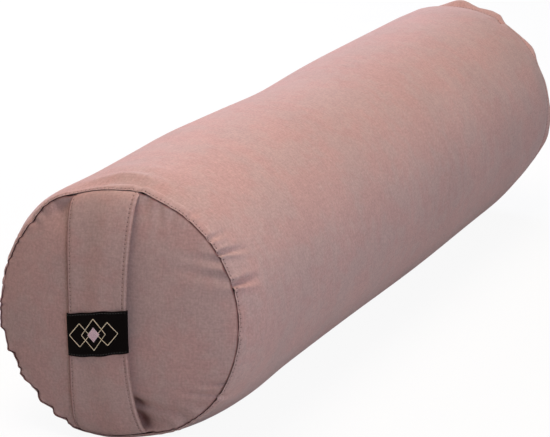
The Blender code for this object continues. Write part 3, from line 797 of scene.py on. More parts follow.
def new_finish(name: str) -> tuple[bpy.types.Material, Wiring, bpy.types.Node]:
    """Start a material.

    Returns:
        The material, its wiring and its Principled BSDF.
    """
    material = bpy.data.materials.new(name)
    material.use_nodes = True
    return material, Wiring(material.node_tree), material.node_tree.nodes["Principled BSDF"]


def object_place(wiring: Wiring) -> bpy.types.NodeSocket:
    """The Texture Coordinate node's Object output."""
    return wiring.add("ShaderNodeTexCoord").outputs["Object"]


@dataclass(frozen=True)
class WovenCloth:
    """Plain-weave cloth that reads the weave and stitch UV maps and the wear and seam shade map.

    relief is the height of the weave, and needle_dent the depth of the dent round a stitch's hole
    against it. dye is the shares of the colour's channels where the dye leans either way. The seam
    shade shares are painted shade: the colour's shares where the cloth lies deep in a seam. The
    colour also gets painted shade in the needle holes and between the weave's threads.
    """

    name: str
    colour: tuple[float, float, float]
    rubbed: tuple[float, float, float]
    pitch: float = 0.0005
    relief: float = 0.00006
    stitch: float = 0.0035
    roughness: float = 0.92
    sheen: float = 0.18
    gloss: float = 0.25
    uneven: float = 0.20
    painted_hole_shade: float = 0.70
    needle_dent: float = 3.0
    dye: tuple[tuple[float, float, float], ...] = ((1.03, 0.98, 0.98), (0.97, 1.02, 1.03))
    painted_seam_shade: tuple[float, float, float] = (0.42, 0.26, 0.26)

    def shaded(self, share: tuple[float, float, float]) -> tuple[float, float, float, float]:
        """The cloth's colour, with each channel taken by its share."""
        red, green, blue = (channel * part for channel, part in zip(self.colour, share))
        return (red, green, blue, 1.0)

    def build(self) -> bpy.types.Material:
        """Make the material."""
        material, w, shader = new_finish(self.name)
        weave_map = w.add("ShaderNodeUVMap", uv_map="weave").outputs[0]
        stitch_map = w.add("ShaderNodeUVMap", uv_map="stitch").outputs[0]
        wear_and_seam_shade = w.add("ShaderNodeAttribute", attribute_name="wear_and_seam_shade").outputs["Fac"]
        weave = w.group(plain_weave_group(), Vector=weave_map, Pitch=self.pitch).outputs
        holes = w.group(needle_hole_group(), Vector=stitch_map, Pitch=self.stitch).outputs
        mottle = w.group(mottle_group(), Vector=object_place(w)).outputs
        yarn = w.vary(weave["Yarn"], self.uneven * 1.6)
        # Painted shade: the colour is darker where the weave is low, in the gaps between the threads.
        painted_weave_shade = w.math("MULTIPLY_ADD", weave["Height"], 0.16, 0.87)
        cloud = w.vary(mottle["Cloud"], self.uneven)
        patch = w.vary(mottle["Patch"], self.uneven * 0.9, cloud)
        grain = w.vary(mottle["Grain"], self.uneven * 2.6, patch)
        shade = w.math("MULTIPLY", w.math("MULTIPLY", yarn, painted_weave_shade), grain)
        worn = w.math("MULTIPLY", w.math("MAXIMUM", wear_and_seam_shade, 0.0), w.step(0.35, 0.65, mottle["Grain"]))
        # Painted shade: below 0 the wear and seam shade map pulls the colour towards the seam shade shares,
        # for the dark inside a seam.
        painted_seam_shade_share = w.math("MAXIMUM", w.math("MULTIPLY", wear_and_seam_shade, -1.0), 0.0)
        lean = w.math("MULTIPLY_ADD", mottle["Patch"], 0.35, w.math("MULTIPLY", mottle["Tint"], 0.65))
        dye_and_seam_shade = w.mix(w.step(0.40, 0.60, lean), *(self.shaded(share) for share in self.dye))
        dye_and_seam_shade = w.mix(painted_seam_shade_share, dye_and_seam_shade, self.shaded(self.painted_seam_shade))
        tone = w.mix(w.math("MULTIPLY", worn, 0.5), dye_and_seam_shade, (*self.rubbed, 1.0))
        # Painted shade: the colour is darkened in each needle hole, where the hole's own shadow falls.
        painted_hole_darkening = w.math("MULTIPLY_ADD", holes["Hole"], -self.painted_hole_shade, 1.0)
        colour = w.scale_colour(tone, w.math("MULTIPLY", shade, painted_hole_darkening))
        w.feed(shader.inputs["Base Color"], colour)
        shader.inputs["Roughness"].default_value = self.roughness
        shader.inputs["Sheen Weight"].default_value = self.sheen
        shader.inputs["Sheen Roughness"].default_value = 0.6
        shader.inputs["Specular IOR Level"].default_value = self.gloss
        dented = w.math("MULTIPLY_ADD", holes["Dent"], -self.needle_dent, weave["Height"])
        w.emboss(shader, dented, self.relief)
        return material


@dataclass(frozen=True)
class TapeWeave:
    """Herringbone zip tape."""

    name: str
    colour: tuple[float, float, float]

    def build(self) -> bpy.types.Material:
        """Make the material."""
        material, w, shader = new_finish(self.name)
        weave_map = w.add("ShaderNodeUVMap", uv_map="weave").outputs[0]
        ribs = w.group(herringbone_group(), Vector=weave_map).outputs["Height"]
        cloud = w.group(mottle_group(), Vector=object_place(w), Scale=30.0).outputs["Cloud"]
        # Painted shade: the tape is darker between its ribs; the cloud adds uneven tone.
        shade = w.math("ADD", w.math("MULTIPLY_ADD", ribs, 0.3, 0.6), w.math("MULTIPLY", cloud, 0.3))
        w.feed(shader.inputs["Base Color"], w.scale_colour(self.colour, shade))
        shader.inputs["Roughness"].default_value = 0.85
        w.emboss(shader, ribs, 0.00012)
        return material


@dataclass(frozen=True)
class SewingThread:
    """Twisted polyester thread with a slight gloss."""

    name: str
    colour: tuple[float, float, float]
    roughness: float = 0.55

    def build(self) -> bpy.types.Material:
        """Make the material."""
        material, w, shader = new_finish(self.name)
        thread_map = w.add("ShaderNodeUVMap", uv_map="thread").outputs[0]
        plies = w.group(twist_group(), Vector=thread_map).outputs["Height"]
        # Painted shade: the thread is darker in the grooves between its plies.
        shade = w.math("MULTIPLY_ADD", plies, 0.35, 0.72)
        w.feed(shader.inputs["Base Color"], w.scale_colour(self.colour, shade))
        shader.inputs["Roughness"].default_value = self.roughness
        shader.inputs["Sheen Weight"].default_value = 0.1
        w.emboss(shader, plies, 0.00008, 0.8)
        return material


@dataclass(frozen=True)
class MouldedPlastic:
    """Dyed plastic zip teeth with a fine moulding grain."""

    name: str
    colour: tuple[float, float, float]

    def build(self) -> bpy.types.Material:
        """Make the material."""
        material, w, shader = new_finish(self.name)
        mottle = w.group(mottle_group(), Vector=object_place(w), Scale=40.0).outputs
        shade = w.math("MULTIPLY_ADD", mottle["Cloud"], 0.2, 0.9)
        w.feed(shader.inputs["Base Color"], w.scale_colour(self.colour, shade))
        w.feed(shader.inputs["Roughness"], w.math("MULTIPLY_ADD", mottle["Grain"], 0.2, 0.28))
        w.emboss(shader, mottle["Grain"], 0.00003, 0.5)
        return material


@dataclass(frozen=True)
class PaintedMetal:
    """Painted die-cast metal, with the paint rubbed thin here and there."""

    name: str
    colour: tuple[float, float, float]
    bare: tuple[float, float, float] = (0.55, 0.52, 0.48)

    def build(self) -> bpy.types.Material:
        """Make the material."""
        material, w, shader = new_finish(self.name)
        mottle = w.group(mottle_group(), Vector=object_place(w), Scale=60.0).outputs
        worn = w.math("MULTIPLY", w.step(0.58, 0.72, mottle["Cloud"]), w.step(0.4, 0.6, mottle["Grain"]))
        w.feed(shader.inputs["Base Color"], w.mix(worn, (*self.colour, 1.0), (*self.bare, 1.0)))
        w.feed(shader.inputs["Metallic"], w.math("MULTIPLY", worn, 0.9))
        w.feed(shader.inputs["Roughness"], w.math("MULTIPLY_ADD", mottle["Grain"], 0.18, 0.26))
        shader.inputs["Coat Weight"].default_value = 0.3
        w.emboss(shader, mottle["Grain"], 0.00002, 0.4)
        return material


@dataclass(frozen=True)
class PlantFibre:
    """Packed plant fibre: matted strands in two tones."""

    name: str
    colour: tuple[float, float, float]
    husk: tuple[float, float, float]

    def build(self) -> bpy.types.Material:
        """Make the material."""
        material, w, shader = new_finish(self.name)
        place = object_place(w)
        matted = {"Vector": place, "Scale": 260.0, "Detail": 5.0, "Distortion": 3.0}
        strands = w.add("ShaderNodeTexNoise", matted).outputs[0]
        specks = w.group(mottle_group(), Vector=place, Scale=14.0).outputs
        tone = w.mix(w.step(0.45, 0.75, specks["Grain"]), (*self.colour, 1.0), (*self.husk, 1.0))
        # The fibre is darker where the strand noise is low: partly uneven tone, partly painted shade in the
        # hollows that the same noise bumps.
        shade = w.math("MULTIPLY_ADD", strands, 0.5, 0.75)
        w.feed(shader.inputs["Base Color"], w.scale_colour(tone, shade))
        shader.inputs["Roughness"].default_value = 1.0
        shader.inputs["Sheen Weight"].default_value = 0.2
        w.emboss(shader, strands, 0.0008)
        return material


class Wardrobe:
    """Every finish on the bolster, made once."""

    def __init__(self) -> None:
        """Make the finishes."""
        rose = (0.52, 0.325, 0.292)
        pale_rose = (0.60, 0.41, 0.37)
        self.cover = WovenCloth("rose plain-weave cotton", rose, pale_rose).build()
        self.handle = WovenCloth("rose handle cotton", rose, pale_rose, stitch=0.0032).build()
        self.ribbon = WovenCloth(
            "black woven ribbon", (0.0036, 0.0022, 0.0021), (0.010, 0.007, 0.007),
            pitch=0.00032, relief=0.00005, stitch=0.0022, roughness=0.9, sheen=0.0, gloss=0.06,
        ).build()
        self.calico = WovenCloth(
            "unbleached calico", (0.72, 0.66, 0.55), (0.78, 0.73, 0.64), pitch=0.0006, stitch=0.003,
        ).build()
        self.thread = SewingThread("rose sewing thread", (0.40, 0.245, 0.225)).build()
        self.black_thread = SewingThread("black sewing thread", (0.007, 0.005, 0.005), 0.8).build()
        self.gold_thread = SewingThread("pale gold thread", (0.92, 0.78, 0.54), 0.4).build()
        self.pink_thread = SewingThread("pink thread", (1.0, 0.74, 0.78), 0.5).build()
        self.tape = TapeWeave("rose zip tape", (0.40, 0.245, 0.225)).build()
        self.plastic = MouldedPlastic("rose zip plastic", (0.40, 0.24, 0.22)).build()
        self.metal = PaintedMetal("rose painted zip metal", (0.38, 0.23, 0.21)).build()
        self.fibre = PlantFibre("packed plant fibre", (0.62, 0.50, 0.33), (0.42, 0.30, 0.18)).build()


# Thread


@dataclass(frozen=True)
class StitchRow:
    """Rows of machine stitches, made as one piece of thread."""

    name: str
    length: float
    width: float
    height: float = 0.0003

    def sew(self, seats: list[Matrix]) -> bpy.types.Object:
        """Make one stitch on each seat.

        Args:
            seats: Axes of each stitch, from Sheet.seat.

        Returns:
            The piece of thread.
        """
        base = bpy.data.meshes.new("stitch")
        bm = bmesh.new()
        bm.loops.layers.uv.new("thread")
        bmesh.ops.create_uvsphere(bm, u_segments=6, v_segments=5, radius=1.0, calc_uvs=True)
        bmesh.ops.rotate(bm, verts=bm.verts, cent=(0, 0, 0), matrix=Matrix.Rotation(math.pi / 2, 3, "Y"))
        bmesh.ops.scale(bm, verts=bm.verts, vec=(self.length / 2, self.width / 2, self.height))
        bm.to_mesh(base)
        bm.free()
        bm = bmesh.new()
        for seat in seats:
            one = base.copy()
            one.transform(seat)
            bm.from_mesh(one)
            bpy.data.meshes.remove(one)
        mesh = bpy.data.meshes.new(self.name)
        bm.to_mesh(mesh)
        bm.free()
        bpy.data.meshes.remove(base)
        mesh.shade_smooth()
        obj = bpy.data.objects.new(self.name, mesh)
        bpy.context.scene.collection.objects.link(obj)
        return obj


# The cover


@dataclass
class CoverTube:
    """The long panel of the cover, rolled into a tube and turned under at all four edges.

    front_row, rear_row and zip_row are the distances of the stitches from their folded edges. hang
    is how far the margin turned under at an end slants away from the cover, for each distance.
    """

    form: BolsterForm
    columns: int = 400
    cloth: float = 0.00025
    bend: float = 0.0003
    turned_under: float = 0.007
    front_row: float = 0.0012
    rear_row: float = 0.0068
    zip_row: float = 0.0032
    groove: float = 0.00025
    hang: float = 0.3
    pitch: float = 0.0035
    stitch_half: float = 0.0014
    slot_front: float = 0.1509
    slot_rear: float = 0.5458
    slot_half: float = 0.006
    closed_half: float = 0.0002
    off_floor: float = 0.0002
    inflation: Inflation = Inflation()
    front_creases: tuple[Crease, ...] = (
        Crease(83, 0.0014, 0.0026, 0.022, -0.1),
        Crease(66, 0.0005, 0.0024, 0.016),
        Crease(57, 0.0012, 0.0022, 0.020),
        Crease(44, 0.0018, 0.0019, 0.028, 0.13),
        Crease(36.5, 0.0044, 0.0016, 0.036, 0.27),
        Crease(22, 0.0052, 0.0020, 0.036, 0.16),
        Crease(11, 0.0006, 0.0030, 0.020),
        Crease(0, 0.0011, 0.0026, 0.022),
        Crease(349, 0.0008, 0.0026, 0.018),
        Crease(329, 0.0024, 0.0019, 0.022),
        Crease(140, 0.0009, 0.0030, 0.020),
        Crease(163, 0.0010, 0.0030, 0.022),
        Crease(196, 0.0009, 0.0034, 0.022),
        Crease(221, 0.0010, 0.0034, 0.020),
    )
    rear_creases: tuple[Crease, ...] = (
        Crease(64, 0.0020, 0.0035, 0.030),
        Crease(30, 0.0006, 0.0040, 0.026),
        Crease(335, 0.0005, 0.0040, 0.020),
        Crease(118, 0.0013, 0.0038, 0.026),
        Crease(141, 0.0010, 0.0040, 0.024),
        Crease(168, 0.0016, 0.0036, 0.030),
        Crease(201, 0.0012, 0.0040, 0.022),
        Crease(226, 0.0010, 0.0040, 0.022),
    )
    puffs: tuple[Puff, ...] = (
        Puff(138, 18, 0.0030, 0.014, 0.014),
        Puff(106, 12, -0.0028, 0.014, 0.018),
        Puff(306, 16, -0.0036, 0.020, 0.022),
        Puff(96, 15, 0.0034, 0.0190, 0.0058),
        Puff(92, 13, 0.0013, 0.041, 0.008),
        Puff(118, 34, -0.0036, 0.350, 0.078),
        Puff(116, 20, -0.0012, 0.060, 0.050),
        Puff(118, 25, 0.0012, 0.180, 0.040),
        Puff(314, 20, 0.0013, 0.085, 0.030),
        Puff(314, 22, 0.0020, 0.410, 0.120),
        Puff(112, 14, 0.0020, 0.684, 0.014),
        Puff(85, 26, -0.0012, 0.6895, 0.0028),
        Puff(309, 22, -0.0054, 0.668, 0.032),
    )

    def row_keys(self) -> np.ndarray:
        """Keys of the rows, close together at the folded ends."""
        bend = self.bend
        edge = [-self.turned_under, -0.004]
        edge += [bend - bend * math.radians(a) for a in (180, 144, 108, 72, 36, 0)]
        edge += [0.0006, 0.0009, 0.0012, 0.0015, 0.0018, 0.0021, 0.0024, 0.0027, 0.003, 0.0034]
        edge += [0.004, 0.0046, 0.0052, 0.0057, 0.0061, 0.0065, 0.0068, 0.0071, 0.0075, 0.008]
        edge += [0.0086, 0.0094, 0.0105, 0.012, 0.0137, 0.0156, 0.0177, 0.02, 0.0226, 0.0255]
        edge += [0.0286, 0.032, 0.0358, 0.04, 0.0447, 0.0498, 0.0555, 0.062, 0.0695, 0.078]
        edge += [0.088, 0.1, 0.114, 0.13]
        slot = [self.slot_front - 0.004, self.slot_front, self.slot_front + 0.004]
        slot += [self.slot_rear - 0.004, self.slot_rear, self.slot_rear + 0.004]
        middle = list(np.arange(0.166, 0.54, 0.0145))
        return mirrored(edge, self.form.length, slot + middle)

    def column_keys(self) -> np.ndarray:
        """Keys of the columns, close together at the zip."""
        bend = self.bend
        edge = [-self.turned_under, -0.0035]
        edge += [bend - bend * math.radians(a) for a in (180, 135, 90, 45, 0)]
        edge += [0.0014, 0.0022, 0.0028, 0.0032, 0.0036, 0.0042, 0.005, 0.006, 0.0072]
        middle = list(np.linspace(0.0086, self.form.girth - 0.0086, self.columns))
        return mirrored(edge, self.form.girth, middle)

    def row_at(self, row: np.ndarray) -> np.ndarray:
        """Distance of the nearer end's stitches from its folded edge."""
        return np.where(row < self.form.length / 2, self.front_row, self.rear_row)

    def opening(self, along: np.ndarray) -> np.ndarray:
        """Half the distance between the panel's long edges, which part over the zip."""
        parted = between(self.slot_front, self.slot_rear, along, 0.003)
        return self.closed_half + (self.slot_half - self.closed_half) * parted

    def lay(self, rows: np.ndarray, columns: np.ndarray, creased: bool = True) -> np.ndarray:
        """Points of the panel before it swells.

        Args:
            rows: Keys from the front end to the rear end.
            columns: Keys round the bolster from one long edge to the other.
            creased: Whether the creases are laid in it yet.

        Returns:
            Rows x columns x 3.
        """
        form = self.form
        row, column = np.meshgrid(rows, columns, indexing="ij")
        is_front = row < form.length / 2
        near = np.minimum(row, form.length - row)
        inward, row_depth = fold(near, self.bend)
        side_near = np.minimum(column, form.girth - column)
        edge, column_depth = fold(side_near, self.bend)
        along = np.where(is_front, inward, form.length - inward)
        edge = edge + self.opening(along) * np.clip(1 - edge / 0.03, 0.0, 1.0)
        arc = np.where(column < form.girth / 2, edge, form.girth - edge)
        angle = form.zip_angle + arc / form.radius
        hanging = self.hang * np.maximum(self.bend * (1 - math.pi) - near, 0.0)
        depth = row_depth + column_depth + hanging
        depth = depth + self.groove * bell(near - self.row_at(row), 0.0005)
        depth = depth + self.groove * bell(side_near - self.zip_row, 0.0009)
        from_row = inward - self.row_at(row)
        if creased:
            front = sum(crease.depth_at(angle, form.radius, from_row) for crease in self.front_creases)
            rear = sum(crease.depth_at(angle, form.radius, from_row) for crease in self.rear_creases)
            depth = depth + np.where(is_front, front, rear)
        puffed = sum(puff.height_at(angle, along) for puff in self.puffs)
        depth = depth - puffed * ease(0.0, 0.008, inward)
        skin_at = np.maximum(inward, self.bend)
        radius = form.skin_radius(np.where(is_front, skin_at, form.length - skin_at)) - depth
        out, up = form.wave(angle, is_front)
        along = along - np.where(is_front, 1, -1) * out * (1 - ease(0.0, 0.0045, inward))
        flat_from, flat_to = np.where(is_front, 0.0015, 0.0010), np.where(is_front, 0.0095, 0.0072)
        return form.wrap(angle, along, radius + up * (1 - ease(flat_from, flat_to, inward)))

    def swell(self) -> tuple[np.ndarray, np.ndarray, np.ndarray]:
        """Let the panel swell and gather between its stitched edges.

        Returns:
            Row keys, column keys and how far each point of that grid moved.
        """
        length = self.form.length
        near = [self.front_row, self.rear_row, *np.arange(0.0115, 0.1, 0.0048)]
        rows = mirrored(near, length, list(np.arange(0.105, length - 0.1, 0.0105)))
        columns = np.linspace(self.zip_row, self.form.girth - self.zip_row, 150)
        points = self.lay(rows, columns, creased=False)
        row, column = np.meshgrid(rows, columns, indexing="ij")
        inward = np.minimum(row, length - row)
        pinned = (inward < self.row_at(row) * 1.01) | (points[..., 2] < 0.0006)
        pinned |= np.minimum(column, self.form.girth - column) < self.zip_row * 1.01
        gathered = 1 - ease(0.02, 0.08, inward)
        moved = self.inflation.swell(points, pinned.astype(float), gathered, False)
        return rows, columns, moved

    def maps(self, rows: np.ndarray, columns: np.ndarray) -> ClothMaps:
        """What the panel's material reads."""
        row, column = np.meshgrid(rows, columns, indexing="ij")
        near = np.minimum(row, self.form.length - row)
        side_near = np.minimum(column, self.form.girth - column)
        by_end = near < 0.012
        by_zip = ~by_end & (side_near < 0.010)
        along = np.where(by_end, column, np.where(by_zip, row, NO_STITCH))
        off = np.where(by_zip, side_near - self.zip_row, NO_STITCH)
        off = np.where(by_end, near - self.row_at(row), off)
        wear_and_seam_shade = bell(near, 0.0012) + bell(side_near, 0.0012)
        # Painted shade: the cloth turned under at the ends goes below 0, darkened for the shade inside the
        # seam.
        wear_and_seam_shade = np.minimum(wear_and_seam_shade, 1.0) - 2 * (1 - ease(-0.0006, -0.0001, near))
        weave, stitch = np.stack([column, row], axis=-1), np.stack([along, off], axis=-1)
        return ClothMaps(weave, stitch, np.maximum(wear_and_seam_shade, -1.0))

    def build(self, wardrobe: Wardrobe) -> None:
        """Make the panel and its thread."""
        rows, columns = self.row_keys(), self.column_keys()
        points = self.lay(rows, columns)
        coarse_rows, coarse_columns, moved = self.swell()
        moved = resample(moved, coarse_rows, rows, 0)
        moved = resample(moved, coarse_columns, columns, 1)
        points = points + moved
        points[..., 2] = np.maximum(points[..., 2], self.off_floor)
        panel = weave_sheet("cover_tube", points, self.maps(rows, columns), turned=False)
        thicken(panel, self.cloth)
        fit(panel, wardrobe.cover, "cover_cotton", "bolster", "cover_body_panel")
        self.sew(Sheet(rows, columns, points), wardrobe)

    def sew(self, sheet: Sheet, wardrobe: Wardrobe) -> None:
        """Topstitch both ends and both sides of the zip."""
        length, girth, half = self.form.length, self.form.girth, self.stitch_half
        across = (np.arange(1, int(girth / self.pitch)) + 0.5) * self.pitch
        along = (np.arange(4, int(length / self.pitch) - 3) + 0.5) * self.pitch
        rows: dict[str, list[Matrix]] = {}
        for end, row in ((End.FRONT, self.front_row), (End.REAR, length - self.rear_row)):
            seats = [sheet.seat((row, s - half), (row, s + half)) for s in across if s + half < girth]
            rows[f"end_stitches_{end.value}"] = seats
        rows["zip_stitches"] = [
            sheet.seat((s - half, column), (s + half, column))
            for column in (self.zip_row, girth - self.zip_row)
            for s in along
        ]
        for name, seats in rows.items():
            thread = StitchRow(name, 0.0031, 0.00055).sew(seats)
            fit(thread, wardrobe.thread, "cover_cotton", "bolster")


FRONT_DISC_CREASES = (
    Crease(77.5, 0.0011, 0.0028, 0.026, 0.2),
    Crease(71.5, 0.0011, 0.0028, 0.028, 0.45),
    Crease(64, 0.0006, 0.0028, 0.022, 0.4),
    Crease(33.5, 0.0015, 0.0034, 0.026, -0.68),
    Crease(24.5, 0.0013, 0.0040, 0.048, -0.68),
    Crease(335.5, 0.0026, 0.0016, 0.020, 0.6),
    Crease(329, 0.0020, 0.0020, 0.036, 0.6),
    Crease(320, 0.0010, 0.0030, 0.022, 0.5),
    Crease(308, 0.0012, 0.0040, 0.030),
    Crease(124, 0.0009, 0.0028, 0.020),
    Crease(131, 0.0009, 0.0028, 0.022),
    Crease(138, 0.0007, 0.0028, 0.018),
    Crease(205, 0.0005, 0.0035, 0.016),
    Crease(228, 0.0006, 0.0035, 0.018),
)
REAR_DISC_CREASES = tuple(
    Crease(angle, 0.0010, 0.005, 0.028) for angle in (12, 58, 95, 137, 170, 214, 262, 318)
)


@dataclass
class EndDisc:
    """A round end panel, tucked under the tube's folded edge.

    strap_offsets are the strap's places at its top and its foot, and sunk is the stretch, in
    degrees, where the panel's rim lies deeper in the seam. From rim_from to rim_to the panel comes
    to follow the seam's waves, and from shown_to to hidden_from its tucked margin leaves them.
    """

    form: BolsterForm
    end: End
    creases: tuple[Crease, ...]
    spans: int = 104
    rim: float = 0.0967
    bend: float = 0.0005
    tuck: float = 0.007
    tuck_slant: float = 0.4
    behind_tube: float = 0.0003
    cloth: float = 0.0004
    strap_relief: float = 0.0006
    strap_offsets: tuple[float, float] = (-0.0127, 0.001)
    strap_half: float = 0.0290
    sunk: tuple[float, float, float] = (132, 240, 10)
    sunk_depth: float = 0.0003
    rim_from: float = 0.0045
    rim_to: float = 0.0003
    shown_to: float = 0.001
    hidden_from: float = 0.006
    inflation: Inflation = Inflation(pressure=0.8, gather=0.015, bending=1.2, cap=0.0025)

    def ring_keys(self) -> np.ndarray:
        """Distances over the cloth from the disc's middle, one for each ring of the grid."""
        flat = self.rim - self.bend
        edge = [flat - 0.0045, flat - 0.003, flat - 0.0018, flat - 0.0008, flat]
        edge += [flat + self.bend * math.radians(a) for a in (30, 60, 90)]
        edge += [flat + self.bend * math.pi / 2 + self.tuck * share for share in (0.4, 1.0)]
        inner = np.linspace(0.0, flat - 0.0062, self.spans // 2 + 1 - len(edge))
        return np.concatenate([inner, edge])

    def profile(self, key: np.ndarray) -> tuple[np.ndarray, np.ndarray]:
        """Radius, and distance into the bolster from the seam's plane, at a key."""
        flat = self.rim - self.bend
        turn = np.clip((key - flat) / self.bend, 0.0, math.pi / 2)
        tucked = np.maximum(key - flat - self.bend * math.pi / 2, 0.0)
        radius = np.minimum(key, flat) + self.bend * np.sin(turn) - self.tuck_slant * tucked
        inward = self.bend * (1 - np.cos(turn)) - self.form.bulge(np.minimum(key, flat))
        return radius, inward + tucked + self.behind_tube

    def grid(self) -> tuple[np.ndarray, np.ndarray]:
        """Angle and key of each point of a square grid that is drawn round into a disc."""
        line = np.linspace(-1.0, 1.0, self.spans + 1)
        x, y = np.meshgrid(line, line)
        flatter = np.abs(x) > np.abs(y)
        safe_x, safe_y = np.where(x == 0, 1.0, x), np.where(y == 0, 1.0, y)
        turn = np.where(flatter, math.pi / 4 * y / safe_x, math.pi / 2 - math.pi / 4 * x / safe_y)
        sign = np.where(np.where(flatter, x, y) < 0, math.pi, 0.0)
        ring = np.maximum(np.abs(x), np.abs(y))
        return turn + sign, self.ring_keys()[np.rint(ring * self.spans / 2).astype(int)]

    def build(self, wardrobe: Wardrobe) -> None:
        """Make the panel."""
        form, is_front = self.form, self.end is End.FRONT
        angle, key = self.grid()
        radius, inward = self.profile(key)
        side, height = radius * np.cos(angle), radius * np.sin(angle)
        for crease in self.creases:
            inward = inward + crease.depth_at(angle, radius, self.rim - radius - self.bend)
        near_rim = ease(self.rim - self.rim_from, self.rim - self.rim_to, radius)
        out, up = form.wave(angle, np.full(angle.shape, is_front))
        flat = self.rim - self.bend
        shown = 1 - ease(flat + self.shown_to, flat + self.hidden_from, key)
        inward = inward - out * near_rim
        stretch = up * near_rim * shown
        if is_front:
            middle = np.where(height > 0, *self.strap_offsets)
            under = between(-self.strap_half, self.strap_half, side - middle, 0.005)
            stretch = stretch - self.strap_relief * under * near_rim
            low, high, soft = self.sunk
            sunk = between(low, high, np.degrees(np.remainder(angle, 2 * math.pi)), soft) * near_rim
            inward = inward + form.end_dent(side, height) * (1 - near_rim) + self.sunk_depth * sunk
        side, height = side * (1 + stretch / self.rim), height * (1 + stretch / self.rim)
        points = form.settle(side, inward if is_front else form.length - inward, height)
        sewn, gathered = (key > flat - 0.003).astype(float), ease(0.05, 0.09, radius)
        points = points + self.inflation.swell(points, sewn, gathered, is_front)
        maps = ClothMaps.plain(radius * np.cos(angle), radius * np.sin(angle))
        # Painted shade: the rim that goes under the tube's fold is darkened for the shade in the seam's
        # crack.
        maps.wear_and_seam_shade = -ease(flat - 0.0006, flat + 0.0005, key)
        disc = weave_sheet(f"{self.end.value}_end_disc", points, maps, turned=is_front)
        thicken(disc, self.cloth)
        fit(disc, wardrobe.cover, "cover_cotton", "bolster", f"cover_{self.end.value}_end_panel")


# The handle


